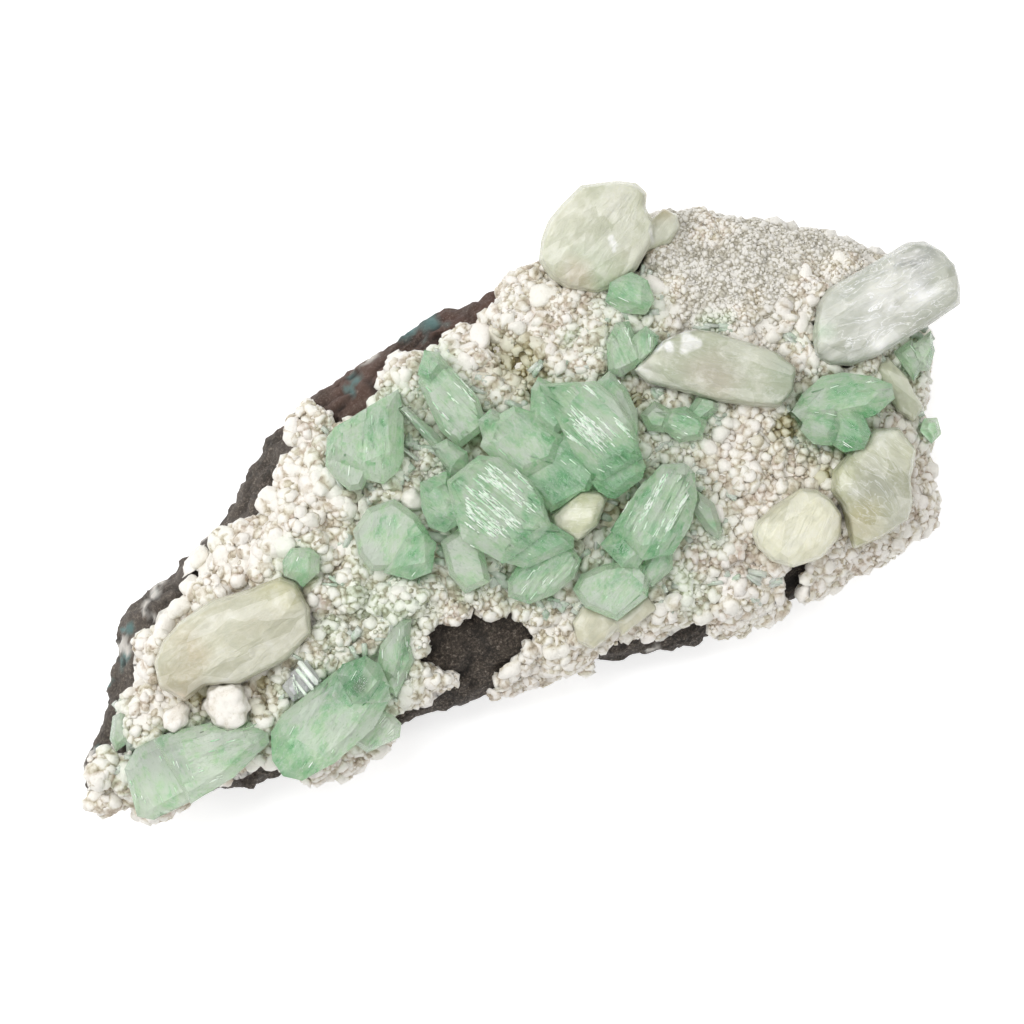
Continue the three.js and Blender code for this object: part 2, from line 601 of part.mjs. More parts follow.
      high: 8.8, lean: [0.03, -0.03],
    },
    {
      plan: [[57.2, -15.4], [60, -13.2], [65, -15], [64.6, -19], [61, -21.2], [58, -19.2]],
      crest: [[59, -16], [61.6, -15.4], [63.2, -17.4], [60.8, -18.8]],
      high: 8.6, lean: [0.02, 0.04],
    },
  ],
  apophyllite_edge: [
    { plan: [[81.4, -11.6], [85.8, -11.2], [85.6, -16.6], [82, -18.6]], high: 4.6, lean: [0.1, 0] },
    {
      plan: [[84.6, -12.4], [90, -11.6], [88.6, -15.4], [85.6, -18.4], [84, -17.4]],
      high: 6.6,
      lean: [-0.1, 0],
    },
  ],
  apophyllite_edge_bud: [
    {
      plan: [[78.4, -27.6], [80.4, -25.8], [82.8, -27], [82, -30.2], [79.2, -31]],
      high: 5,
      lean: [-0.1, 0.1],
    },
  ],
};

const STILBITE = {
  stilbite_left: [
    {
      plan: [
        [-74, 3], [-72.4, 8], [-69, 10.6], [-64, 12.4], [-57, 12.8], [-50, 11.2], [-43, 10], [-41, 7.6],
        [-41.2, 2], [-43.4, -2.4], [-50, -4.6], [-60, -4], [-66, -1], [-71, -1.6],
      ],
      spine: [[-66, 4.4], [-47, 3.8]], high: 8,
    },
  ],
  stilbite_left_tail: [
    {
      plan: [[-68.4, -8], [-68.6, -5], [-66, -1.8], [-62, -1.6], [-60, -4.4], [-61, -9],
        [-63.4, -11.4], [-66.6, -10.6]],
      high: 5.4,
    },
  ],
  stilbite_left_lobe: [
    { plan: [[-77.6, -4], [-75.6, -1.6], [-71.6, -1], [-70.8, -3], [-73, -5.6], [-76, -6]], high: 5.4 },
  ],
  stilbite_top: [
    {
      plan: [
        [30.2, 38], [30.6, 34], [32.4, 30.4], [36.6, 27], [41, 25.8], [46, 27], [51, 30], [53.2, 33],
        [53.4, 36.6], [55, 38.8], [54.2, 41.6], [51, 44], [44.6, 46.6], [40, 45.4], [35.8, 43.8],
        [32.6, 41.2],
      ],
      spine: [[39, 35], [46, 37.6]], high: 14, lift: 5,
    },
    { plan: [[49, 29], [51, 34], [56.6, 35], [58.4, 32.6], [57.6, 30], [54, 28]], high: 5.4 },
  ],
  stilbite_right: [
    {
      plan: [
        [67, -4.6], [69, -1], [73, 4], [76, 5.4], [94, 5.4], [96.6, 4], [98.8, 0.4], [99.6, -3], [98, -7.4],
        [96.6, -10], [88, -10.6], [78, -10.8], [72.6, -9.8], [68.6, -7.6],
      ],
      spine: [[74, -3], [94, -2.6]], high: 10, lift: 2,
    },
  ],
  stilbite_middle: [
    {
      plan: [
        [35.4, 10.4], [43, 12.6], [48, 12], [52, 9.6], [57, 4.4], [61, -0.4], [62.6, -4.6], [60, -8.4],
        [56, -9.8], [51.6, -7], [46, -2.6], [40.6, 3], [36.4, 7],
      ],
      spine: [[42, 7.6], [57, -5]], high: 7.8,
    },
  ],
  stilbite_disc: [
    {
      plan: [
        [39.4, -28.4], [41, -26.6], [46, -25.6], [52, -25.2], [54.6, -27], [56, -30], [56.2, -33.6],
        [54, -37], [48.6, -39], [43, -37.8], [40, -34.6], [39, -31],
      ],
      spine: [[46, -32], [50, -32]], high: 7,
    },
  ],
  stilbite_lower_right: [
    {
      plan: [
        [56.8, -28.6], [59, -25.4], [64, -24], [70, -22.4], [74.4, -24.6], [75.2, -30], [71.4, -34.6],
        [69.6, -38.6], [67, -41], [60, -41.4], [55, -40.6], [56.2, -36], [57.2, -32],
      ],
      spine: [[66, -28], [62, -37]], high: 7.4,
    },
  ],
  stilbite_slab: [
    { plan: [[76.6, -12], [80, -11.4], [81.2, -17], [81, -24], [78, -25.6], [76.2, -22]], high: 4.6 },
  ],
  stilbite_block: [
    {
      plan: [[6.8, -8.2], [7.4, -5.8], [15, -4.4], [18.4, -6.6], [19, -8], [14.6, -12], [9.6, -12.8]],
      high: 8.6,
    },
  ],
  stilbite_low: [
    { plan: [[0, -29.4], [1, -25.4], [4.4, -23.8], [8.6, -28], [9, -31.2], [2, -32.4]], high: 3.8 },
    { plan: [[7.4, -29.4], [16.6, -28.4], [16.8, -31.8], [8, -32.8]], high: 3 },
  ],
};

// ---------------------------------------------------------------- assembly
const specimen = new THREE.Group();
const offset = new THREE.Vector3();

function add(name, body, finish) {
  const { vertProperties, triVerts } = body.getMesh();
  const geometry = new THREE.BufferGeometry();
  geometry.setAttribute("position", new THREE.BufferAttribute(vertProperties, 3));
  geometry.setIndex(new THREE.BufferAttribute(triVerts, 1));
  geometry.computeVertexNormals();
  const material = new THREE.MeshStandardMaterial({ ...finish, metalness: 0, flatShading: true });
  const mesh = new THREE.Mesh(geometry, material);
  mesh.name = name;
  specimen.add(mesh);
}

// One piece from its crystals: its body, the same grown by the gap, which its neighbours keep out of,
// and its socket, an upright well in the crust under the plan of each crystal.
function grownTogether(list, make, finish) {
  return {
    body: joined(list.map((spec) => make(spec))),
    grown: joined(list.map((spec) => make(spec, GAP))),
    socket: joined(list.map((spec) => upright(moved(spec.plan, GAP), footOf(spec) - GAP, SKY))),
    finish,
  };
}

// Crystals in the order in which they cut each other: a later one gives way to an earlier one.
const crystals = new Map();
for (const [rows, make, finish] of [
  [STILBITE, stilbite, FINISH.stilbite],
  [APOPHYLLITE, apophyllite, FINISH.apophyllite],
]) {
  for (const [name, list] of Object.entries(rows)) {
    crystals.set(name, grownTogether(list, make, finish));
  }
}

const placed = [];
for (const [name, { body, grown, finish }] of crystals) {
  const cut = placed.reduce((rest, other) => rest.subtract(other), body);
  add(name, largest(cut), finish);
  placed.push(grown);
}

const kept = joined(placed);
const sockets = joined([...crystals.values()].map(({ socket }) => socket));
add("basalt_matrix", largest(basalt(0).subtract(kept)), FINISH.basalt);

const bareGround = joined(BARE.map((polygon, i) => bareRoom(polygon, i ? BREAK_FLARE : 0)));
const sides = slab(CRUST_SIDES, { wrapped: true, rough: CRUST_SWELL, grain: 11, wave: HEM_WAVE });
const missing = [bareGround, basalt(GAP), sockets];
const crust = missing.reduce((rest, cutter) => rest.subtract(cutter), lumpyBlock().intersect(sides));
add("heulandite_crust", largest(crust), FINISH.heulandite);

// The group is moved so that the origin is under the middle of the specimen's box.
const box = new THREE.Box3().setFromObject(specimen);
offset.set(-(box.min.x + box.max.x) / 2, -(box.min.y + box.max.y) / 2, -box.min.z);
specimen.position.copy(offset);

export default specimen;
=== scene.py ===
# Apophyllite on heulandite, a hand specimen lying on its back. Metres, in the frame's own axes.
import math

import bmesh
import bpy
import numpy as np
from mathutils import Matrix, Vector, kdtree
from mathutils.bvhtree import BVHTree


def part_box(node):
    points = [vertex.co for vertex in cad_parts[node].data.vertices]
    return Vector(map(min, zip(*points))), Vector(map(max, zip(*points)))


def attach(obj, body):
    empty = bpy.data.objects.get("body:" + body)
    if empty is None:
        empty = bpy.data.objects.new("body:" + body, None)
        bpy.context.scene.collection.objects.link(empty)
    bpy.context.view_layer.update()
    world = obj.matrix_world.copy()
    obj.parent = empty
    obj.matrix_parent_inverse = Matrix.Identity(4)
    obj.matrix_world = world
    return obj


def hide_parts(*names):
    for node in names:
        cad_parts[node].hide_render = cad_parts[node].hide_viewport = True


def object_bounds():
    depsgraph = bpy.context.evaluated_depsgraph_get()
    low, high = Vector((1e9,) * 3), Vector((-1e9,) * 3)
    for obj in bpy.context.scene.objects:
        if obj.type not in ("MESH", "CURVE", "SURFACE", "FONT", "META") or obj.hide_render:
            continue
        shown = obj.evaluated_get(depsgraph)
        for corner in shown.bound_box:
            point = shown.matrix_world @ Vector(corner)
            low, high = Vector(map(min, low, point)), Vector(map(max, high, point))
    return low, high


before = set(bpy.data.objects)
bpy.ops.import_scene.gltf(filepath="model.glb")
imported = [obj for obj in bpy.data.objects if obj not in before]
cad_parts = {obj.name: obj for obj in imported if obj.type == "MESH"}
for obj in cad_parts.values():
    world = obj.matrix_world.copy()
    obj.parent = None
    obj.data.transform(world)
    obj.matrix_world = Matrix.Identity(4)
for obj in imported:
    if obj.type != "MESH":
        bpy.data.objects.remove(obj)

cad_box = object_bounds()
bpy.ops.object.select_all(action="DESELECT")
MM = 0.001

# ---------------------------------------------------------------- camera, floor and light
# The camera looks straight down on the specimen, turned so that it lies aslant in the picture.
camera_data = bpy.data.cameras.new("camera")
camera_data.lens = 120
camera_data.sensor_width = 36
camera_data.clip_start = 0.05
camera = bpy.data.objects.new("camera", camera_data)
camera.location = (0.0015165, -0.0016886, 0.687187)
camera.rotation_euler = (0, 0, math.radians(-30))
bpy.context.scene.collection.objects.link(camera)
bpy.context.scene.camera = camera
bpy.context.scene.view_settings.view_transform = "Standard"


def linear(colour):
    """An sRGB hex colour as a linear one."""
    parts = [int(colour[i : i + 2], 16) / 255 for i in (0, 2, 4)]
    return (*(c / 12.92 if c <= 0.04045 else ((c + 0.055) / 1.055) ** 2.4 for c in parts), 1.0)


def add_node(material, kind, settings=None, links=None):
    """Adds a shader node. A setting is one of its own values, an input's value or a ramp's colours."""
    made = material.node_tree.nodes.new(kind)
    for name, value in (settings or {}).items():
        if name == "ramp":
            while len(made.color_ramp.elements) < len(value):
                made.color_ramp.elements.new(0.5)
            for element, (position, colour) in zip(made.color_ramp.elements, value):
                element.position = position
                element.color = linear(colour)
        elif isinstance(name, int) or name in made.inputs:
            made.inputs[name].default_value = value
        else:
            setattr(made, name, value)
    for name, source in (links or {}).items():
        material.node_tree.links.new(source, made.inputs[name])
    return made


def new_material(name):
    """An empty material with its output node."""
    material = bpy.data.materials.new(name)
    material.use_nodes = True
    material.node_tree.nodes.clear()
    return material, add_node(material, "ShaderNodeOutputMaterial")


def area_light(name, place, size, power):
    """A square soft light at a place, turned to the specimen."""
    data = bpy.data.lights.new(name, "AREA")
    data.size = size
    data.energy = power
    light = bpy.data.objects.new(name, data)
    light.location = place
    light.rotation_euler = (Vector((0, 0, 0.02)) - Vector(place)).to_track_quat("-Z", "Y").to_euler()
    bpy.context.scene.collection.objects.link(light)


area_light("window", (-0.45, 0.55, 0.75), 0.45, 3.6)
area_light("softbox", (-0.02, 0.26, 0.93), 0.2, 1.2)
for number in range(6):
    turn = math.radians(60 * number + 10)
    area_light(f"ring_{number}", (0.34 * math.cos(turn), 0.34 * math.sin(turn), 0.9), 0.15, 0.4)
world = bpy.data.worlds.new("room")
world.use_nodes = True
world.node_tree.nodes["Background"].inputs["Color"].default_value = linear("ffffff")
world.node_tree.nodes["Background"].inputs["Strength"].default_value = 0.6
bpy.context.scene.world = world

# Matt white paper, lit a little from below as a light table is, so that it stays pale.
paper, paper_out = new_material("white paper, matt")
paper_shader = add_node(paper, "ShaderNodeBsdfPrincipled", {
    "Base Color": linear("f4f4f4"), "Roughness": 0.9,
    "Emission Color": linear("ffffff"), "Emission Strength": 0.4})
paper.node_tree.links.new(paper_shader.outputs["BSDF"], paper_out.inputs["Surface"])
bpy.ops.mesh.primitive_plane_add(size=4, location=(0, 0, -0.0002))
floor = bpy.context.object
floor.name = "floor"
floor.data.materials.append(paper)

# ---------------------------------------------------------------- basalt slab
# The matrix: a broken slab of dark, fine-grained basalt, bare along its upper edge and in breaks along
# the lower one. Its solid is roughened, and vesicles and mineral fillings are coloured in by place.


def only(piece):
    """Selects one object alone and makes it the active one."""
    bpy.ops.object.select_all(action="DESELECT")
    piece.select_set(True)
    bpy.context.view_layer.objects.active = piece


def edited(piece, *operations):
    """Runs mesh operations, each with its settings, on all of a piece."""
    only(piece)
    bpy.ops.object.mode_set(mode="EDIT")
    for operation, settings in operations:
        bpy.ops.mesh.select_all(action="SELECT")
        operation(**settings)
    bpy.ops.object.mode_set(mode="OBJECT")


def free_copy(node, name):
    """The CAD node's mesh as a new piece, its loose triangles merged."""
    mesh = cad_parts[node].data.copy()
    mesh.materials.clear()
    piece = bpy.data.objects.new(name, mesh)
    bpy.context.scene.collection.objects.link(piece)
    edited(piece, (bpy.ops.mesh.remove_doubles, {"threshold": 0.002 * MM}))
    return piece


def apply(piece, kind, **settings):
    """Adds a modifier with its settings and applies it."""
    only(piece)
    modifier = piece.modifiers.new(kind.lower(), kind)
    for name, value in settings.items():
        setattr(modifier, name, value)
    bpy.ops.object.modifier_apply(modifier=modifier.name)


def points_of(piece):
    """The places of a mesh's points, in metres, and its normals."""
    count = len(piece.data.vertices)
    places = np.empty(count * 3, np.float32)
    normals = np.empty(count * 3, np.float32)
    piece.data.vertices.foreach_get("co", places)
    piece.data.vertex_normals.foreach_get("vector", normals)
    return places.reshape(-1, 3).astype(float), normals.reshape(-1, 3).astype(float)


def put_points(piece, places):
    """Moves a mesh's points."""
    piece.data.vertices.foreach_set("co", places.astype(np.float32).ravel())
    piece.data.update()


def hashed(cells, seed):
    """A repeatable number from 0 to 1 for each whole-numbered cell."""
    mixed = cells[..., 0] * 73856093 ^ cells[..., 1] * 19349663 ^ cells[..., 2] * 83492791
    mixed = (mixed ^ seed * 2654435761) & 0xFFFFFFFF
    mixed = ((mixed ^ mixed >> 15) * 2246822519) & 0xFFFFFFFF
    mixed = ((mixed ^ mixed >> 13) * 3266489917) & 0xFFFFFFFF
    return (mixed ^ mixed >> 16) / 4294967295


def smooth_noise(places, size, seed):
    """Value noise from -1 to 1 with lumps of a size, one number or one for each axis, in metres."""
    at = places / size
    low = np.floor(at).astype(np.int64)
    share = at - low
    share = share * share * (3 - 2 * share)
    total = np.zeros(len(places))
    for corner in range(8):
        step = np.array([corner & 1, corner >> 1 & 1, corner >> 2 & 1])
        weight = np.prod(np.where(step, share, 1 - share), axis=1)
        total += weight * hashed(low + step, seed)
    return 2 * total - 1


def strayed(places, amount, size, seed):
    """The places moved about at random by an amount in mm, in waves of a size in mm."""
    way = np.stack([smooth_noise(places, size * MM, seed + i) for i in range(3)], axis=1)
    return places + amount * MM * way


def attribute(piece, name, values, domain="POINT"):
    """Stores a number, or three, for each point or face corner of a piece, for its material to read."""
    values = np.asarray(values, np.float32)
    flat = values.ndim == 1
    layer = piece.data.attributes.new(name, "FLOAT" if flat else "FLOAT_VECTOR", domain)
    layer.data.foreach_set("value" if flat else "vector", values.ravel())


def blots(places, spots, softness):
    """1 inside round spots, each given by x, y and reach in mm, falling to 0 past their edges."""
    x, y, reach = np.array(spots, float).T[:3, :, None]
    distance = np.hypot(places[:, 0] / MM - x, places[:, 1] / MM - y) / reach
    return np.clip((1 + softness - distance) / (2 * softness), 0, 1).max(axis=0)


def shade_smooth(piece):
    """Hides the edges between a piece's faces."""
    piece.data.polygons.foreach_set("use_smooth", [True] * len(piece.data.polygons))


basalt = free_copy("basalt_matrix", "basalt_slab")
apply(basalt, "REMESH", mode="VOXEL", voxel_size=0.95 * MM)
rock, rock_normals = points_of(basalt)
coarse = smooth_noise(rock, 9 * MM, 1)
ledges = np.abs(smooth_noise(rock, np.array([12, 8, 3]) * MM, 2))
cracks = np.clip(0.16 - np.abs(smooth_noise(rock, np.array([6, 4, 3]) * MM, 9)), 0, 1) / 0.16
grit = smooth_noise(rock, 2.6 * MM, 3)
fine_grit = smooth_noise(rock, 1.4 * MM, 4)
vesicles = np.clip(smooth_noise(rock, 2.2 * MM, 5) - 0.55, 0, 1) * 4
relief = 0.7 * coarse - 1.0 * ledges + 0.6 * grit + 0.5 * fine_grit - 0.9 * vesicles - 0.6 * cracks
rock += rock_normals * (relief * MM)[:, None]
rock[:, 2] = np.maximum(rock[:, 2], 0)
put_points(basalt, rock)
shade_smooth(basalt)
# Rust, fillings of teal and chalky minerals, and a paler band painted along the upper edge as window light:
# x, y and reach of each spot in mm.
RUST = [(-8, 33, 9), (-15, 35, 6), (8, 36, 6), (19, 36, 6), (-24, 33, 5)]
TEAL = [(-79.2, 11.7, 1.3), (-75.8, 16.3, 1.1), (-12.5, 36, 1.2), (-14.6, 34.4, 0.8), (3, 39.4, 2.2),
        (7, 39.8, 2.2), (-93, -1.5, 0.9), (-84, 9, 0.8), (-66, 20, 0.7)]
CHALK = [(-79, 14.5, 1.4), (-78.2, 12.6, 1.2), (-97.5, -3.8, 0.9), (-96, -2.5, 0.8), (-94.4, -1.2, 0.9),
         (-18, 38.6, 1.1), (-14, 39, 1.0), (-10, 39.2, 1.2), (-6.5, 39, 1.0), (-86, -1, 1.3), (-90, -5, 1.4),
         (-70.4, 17.0, 1.1), (-69, 18.0, 1.3), (-67.4, 19.0, 1.3), (-65.8, 20.0, 1.0), (-53, 24.5, 1.0),
         (13, -38, 0.8)]
WINDOW_LIT_BAND = [(-93, -4, 8), (-84, 8, 9), (-72, 18, 9), (-60, 25, 9), (-46, 31, 9), (-30, 36, 8), (-12, 40, 8)]
wander = strayed(rock, 2.2, 3, 6)
high = np.clip((rock[:, 2] + 2 * MM * grit) / (4 * MM) - 1, 0, 1)
# Painted shade: the sunken vesicles and cracks are also coloured nearly black.
attribute(basalt, "pit", np.clip(vesicles + 0.8 * cracks * (grit > -0.2), 0, 1))
attribute(basalt, "rust", blots(wander, RUST, 0.6))
attribute(basalt, "teal", high * blots(wander, TEAL, 0.4))
attribute(basalt, "chalk", high * blots(wander, CHALK, 0.3))
# Painted light: a paler band along the upper edge, where the window lights it.
attribute(basalt, "dust", blots(wander, WINDOW_LIT_BAND, 0.5) * (0.7 + 0.5 * grit))

# Basalt, broken: dull and dark, with pale crystal grains that are partly a painted glint, rust where air
# reached it, and fillings of teal celadonite and chalky zeolite in its holes.
stone, stone_out = new_material("basalt, broken")
place = add_node(stone, "ShaderNodeTexCoord").outputs["Object"]
mottle = add_node(stone, "ShaderNodeTexNoise", {"Scale": 1 / (4 * MM), "Detail": 8, "Roughness": 0.7},
                  {"Vector": place})
speckle = add_node(stone, "ShaderNodeTexNoise", {"Scale": 1 / (0.6 * MM), "Detail": 5, "Roughness": 0.85},
                   {"Vector": place})
dark = add_node(stone, "ShaderNodeValToRGB",
                {"ramp": [(0.3, "1f1a15"), (0.47, "3c342a"), (0.62, "5a5045"), (0.78, "7d7164")]},
                {"Fac": mottle.outputs["Fac"]})
# The pale end of this ramp is partly a painted glint.
grain_and_glint = add_node(stone, "ShaderNodeValToRGB",
                 {"ramp": [(0.38, "0d0a07"), (0.5, "42382e"), (0.59, "86796c"), (0.69, "dcd2c6")]},
                 {"Fac": speckle.outputs["Fac"]})
colour = add_node(stone, "ShaderNodeMix", {"data_type": "RGBA", 0: 0.7},
                  {6: dark.outputs["Color"], 7: grain_and_glint.outputs["Color"]})
# The paler band along the upper edge is painted window light.
for name, share, tint in (("dust", 0.4, "a0968c"), ("rust", 0.55, "6d4638"), ("teal", 0.75, "6f9c9a"),
                          # The near-black in the pits and cracks is painted shade.
                          ("chalk", 1.0, "f1ece4"), ("pit", 0.75, "14100b")):
    mask = add_node(stone, "ShaderNodeAttribute", {"attribute_name": name})
    broken = add_node(stone, "ShaderNodeMath", {"operation": "MULTIPLY", 1: share}, {0: mask.outputs["Fac"]})
    colour = add_node(stone, "ShaderNodeMix", {"data_type": "RGBA", "clamp_factor": True, 7: linear(tint)},
                      {0: broken.outputs["Value"], 6: colour.outputs[2]})
rough = add_node(stone, "ShaderNodeBump", {"Strength": 1.0, "Distance": 0.8 * MM},
                 {"Height": speckle.outputs["Fac"]})
stone_shader = add_node(stone, "ShaderNodeBsdfPrincipled", {"Roughness": 0.78, "IOR": 1.6},
                        {"Base Color": colour.outputs[2], "Normal": rough.outputs["Normal"]})
stone.node_tree.links.new(stone_shader.outputs["BSDF"], stone_out.inputs["Surface"])
basalt.data.materials.append(stone)
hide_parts("basalt_matrix")
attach(basalt, "root")

# ---------------------------------------------------------------- heulandite crust
# One skin of grown-together balls. Its solid is covered with lumps like a cauliflower, 3 to 6 mm across,
# bold at the narrow end and low on the slope at the broad end, and the loose balls below sit on it.
UP = Vector((0, 0, 1))
DOWN = Vector((0, 0, -1))
SKY = 100 * MM  # a height over everything, from which rays are cast down
CRYSTALS = [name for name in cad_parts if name.startswith(("apophyllite", "stilbite"))]


def tree_of(names):
    """A search tree over the faces of some CAD nodes."""
    places, faces = [], []
    for name in names:
        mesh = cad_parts[name].data
        first = len(places)
        places += [v.co.copy() for v in mesh.vertices]
        faces += [[first + i for i in p.vertices] for p in mesh.polygons]
    return BVHTree.FromPolygons(places, faces)


def thinned(places, spacing, seed):
    """The numbers of points that stand about a spacing apart, one in each cell of a jittered grid."""
    order = np.random.default_rng(seed).permutation(len(places))
    _, first = np.unique(np.floor(places[order] / spacing).astype(np.int64), axis=0, return_index=True)
    return order[np.sort(first)]


def unit(vectors):
    """Each vector made one long."""
    return vectors / np.linalg.norm(vectors, axis=1, keepdims=True)


crystal_tree = tree_of(CRYSTALS)
basalt_tree = tree_of(["basalt_matrix"])
prism_tree = tree_of([name for name in CRYSTALS if name.startswith("apophyllite")])
crust_tree = tree_of(["heulandite_crust"])
crust = free_copy("heulandite_crust", "heulandite_crust_skin")
apply(crust, "REMESH", mode="VOXEL", voxel_size=0.88 * MM)
apply(crust, "SMOOTH", factor=0.5, iterations=3)
skin, skin_normals = points_of(crust)


def shown(places, normals):
    """True for points of the crust's outer face: clear of the basalt and not close under a crystal."""
    result = np.zeros(len(places), bool)
    for i, (at, normal) in enumerate(zip(places, normals)):
        if normal[2] < -0.5 or basalt_tree.find_nearest(at, 1.3 * MM)[0] is not None:
            continue
        result[i] = crystal_tree.ray_cast(Vector(at) + 0.3 * MM * UP, UP, 2.5 * MM)[0] is None
    return result


WAYS_OUT = [Vector((math.cos(turn), math.sin(turn), rise)).normalized()
            for turn in np.radians(np.arange(0, 360, 30)) for rise in (0.3, 1)]


def hidden(middle, front):
    """True for a ball with a crystal over its middle and no open way out from a point in front of it."""
    if crystal_tree.ray_cast(Vector(middle), UP)[0] is None:
        return False
    return all(crystal_tree.ray_cast(Vector(front), way)[0] or crust_tree.ray_cast(Vector(front), way)[0]
               for way in WAYS_OUT)


def slope_share(places):
    """1 on the fine-grained slope at the broad end, 0 elsewhere."""
    x, y = places[:, 0] / MM, places[:, 1] / MM
    return np.clip((x - 42) / 8, 0, 1) * np.clip((y - 2) / 6, 0, 1)


def lumps(places, spacing, radii, seed, where):
    """Height of ball-shaped lumps of a range of radii over each point, in metres, and 0 between them."""
    chosen = thinned(places, spacing, seed)
    chosen = chosen[where[chosen]]
    finder = kdtree.KDTree(len(chosen))
    for i, number in enumerate(chosen):
        finder.insert(places[number], i)
    finder.balance()
    reach = np.random.default_rng(seed).uniform(*radii, len(chosen)) * MM
    height = np.zeros(len(places))
    for i in np.flatnonzero(where):
        near = finder.find_n(places[i], 4)
        height[i] = math.sqrt(max(0, *(reach[number] ** 2 - distance**2 for _, number, distance in near)))
    return height


edited(crust, (bpy.ops.mesh.quads_convert_to_tris, {}))
outer = shown(skin, skin_normals)
bold = np.clip(0.7 - skin[:, 0] / (140 * MM), 0.5, 1.1) * (1 - 0.25 * slope_share(skin))
lobes = lumps(skin, 5.2 * MM, (2.6, 4.4), 11, outer)
knobs = lumps(skin, 2.3 * MM, (1.0, 1.7), 12, outer)
lift = bold * (0.75 * lobes - 1.6 * MM) + 0.5 * knobs - 0.3 * MM
lift += 0.14 * MM * smooth_noise(skin, 0.9 * MM, 13)
# Pockets, tinted olive and darker, and smooth swells: x, y, reach, and depth or height, in mm. Greener
# places: x, y, reach.
POCKETS = [
    (16.5, 22, 3.6, 4.4), (15, 28, 2.2, 3.0), (18, 15.5, 2.4, 3.0), (-68, -3.5, 1.6, 1.5),
    (-58, -8, 2.0, 1.6), (-52, -3, 2.0, 1.2), (20, -10.5, 1.6, 2.2), (56, -24.5, 2.0, 1.4),
    (54, -14, 1.8, 0.8), (33.6, 6.4, 1.6, 1.6),
]
SWELLS = [
    (59, 10, 3.0, 1.4), (72.5, 8.5, 3.6, 2.0), (76, 3.5, 3.0, 1.2), (67, 3.5, 3.0, 1.0),
    (50, 20, 2.4, 1.0), (81, 8, 3.0, 1.4), (52, 30, 3.0, 1.0), (62, 27, 3.0, 0.8), (24, 33, 5.0, 1.0),
    (-62, 18, 4.0, 0.8), (-46, 15, 3.0, 1.0), (-36, 18, 4.0, 0.8),
]
GREEN_CRUST = [
    (55, 9.6, 2.6), (-30, -3, 6), (-40, -4, 4), (80, -16, 4), (30, 22, 2.5), (50, -3, 3), (64, -1, 2.5),
    (24, -32, 4), (-26.0, -7.8, 5),
]
for x, y, reach, depth in POCKETS:
    lift -= depth * MM * blots(skin, [(x, y, reach)], 0.5)
for x, y, reach, height in SWELLS:
    lift += height * MM * blots(skin, [(x, y, reach)], 0.5)
skin += skin_normals * np.where(outer, lift, 0)[:, None]
put_points(crust, skin)
shade_smooth(crust)
lobe_share = np.clip(lobes / (3.2 * MM), 0, 1)
knob_share = np.clip(knobs / (1.2 * MM), 0, 1)
# Painted shade and light: the crest value is low, brown, in the crevices between the lumps and high, white,
# on their tops; under the crystals it is pale.
attribute(crust, "crest", np.where(outer, 0.25 + 0.3 * lobe_share + 0.35 * knob_share, 0.85))
attribute(crust, "tone", smooth_noise(skin, 14 * MM, 14))


def tints(places):
    """How olive, how green and how grey the crust is by place: olive and darker in its pockets, green by the
    prisms.
    """
    wander = strayed(places, 3, 4, 15)
    olive = blots(wander, [(x, y, reach + 1) for x, y, reach, _ in POCKETS], 0.5)
    near = np.array([prism_tree.find_nearest(at)[3] for at in places]) / MM
    green = np.clip(1 - near / 4.5, 0, 1) * (0.65 + 0.5 * smooth_noise(places, 3 * MM, 18))
    green = np.maximum(green, blots(wander, GREEN_CRUST, 0.6) * 0.8)
    return olive, np.clip(green, 0, 1), slope_share(wander) * (1 - blots(wander, SWELLS, 0.4))


TINTS = ("olive", "green", "grey")
for kind, values in zip(TINTS, tints(skin)):
    attribute(crust, kind, np.where(outer, values, 0))
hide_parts("heulandite_crust")
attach(crust, "root")

# ---------------------------------------------------------------- heulandite balls
# The balls that the crust is made of, each a squashed ball sunk in the skin: fat ones at the narrow end,
# round ones in the basin, painted darker and with painted shade in their gaps, fine grains on the slope at
# the broad end.
skin, skin_normals = points_of(crust)
faces = np.empty(len(crust.data.polygons) * 3, np.int32)
crust.data.polygons.foreach_get("vertices", faces)
faces = faces.reshape(-1, 3)
random = np.random.default_rng(21)
visible = faces[outer[faces].all(axis=1)]
corner_share = random.dirichlet([1, 1, 1], (3, len(visible)))
beds = np.einsum("rfc,fcx->rfx", corner_share, skin[visible]).reshape(-1, 3)
bed_normals = unit(np.tile(skin_normals[visible].mean(axis=1), (3, 1)))
bed_lobes = np.tile(lobe_share[visible].mean(axis=1), 3)


def form_of(piece):
    """A piece's points and triangles. The piece itself is deleted."""
    places, _ = points_of(piece)
    corners = np.array([list(p.vertices) for p in piece.data.polygons])
    mesh = piece.data
    bpy.data.objects.remove(piece)
    bpy.data.meshes.remove(mesh)
    return places, corners


def ball_form(subdivisions, cut):
    """One ball cut off flat below, as points and triangles for a radius of 1."""
    bpy.ops.mesh.primitive_ico_sphere_add(subdivisions=subdivisions, radius=1, location=(0, 0, 0))
    ball = bpy.context.object
    below = {"plane_co": (0, 0, cut), "plane_no": (0, 0, 1), "use_fill": True, "clear_inner": True}
    edited(ball, (bpy.ops.mesh.bisect, below), (bpy.ops.mesh.quads_convert_to_tris, {}))
    return form_of(ball)


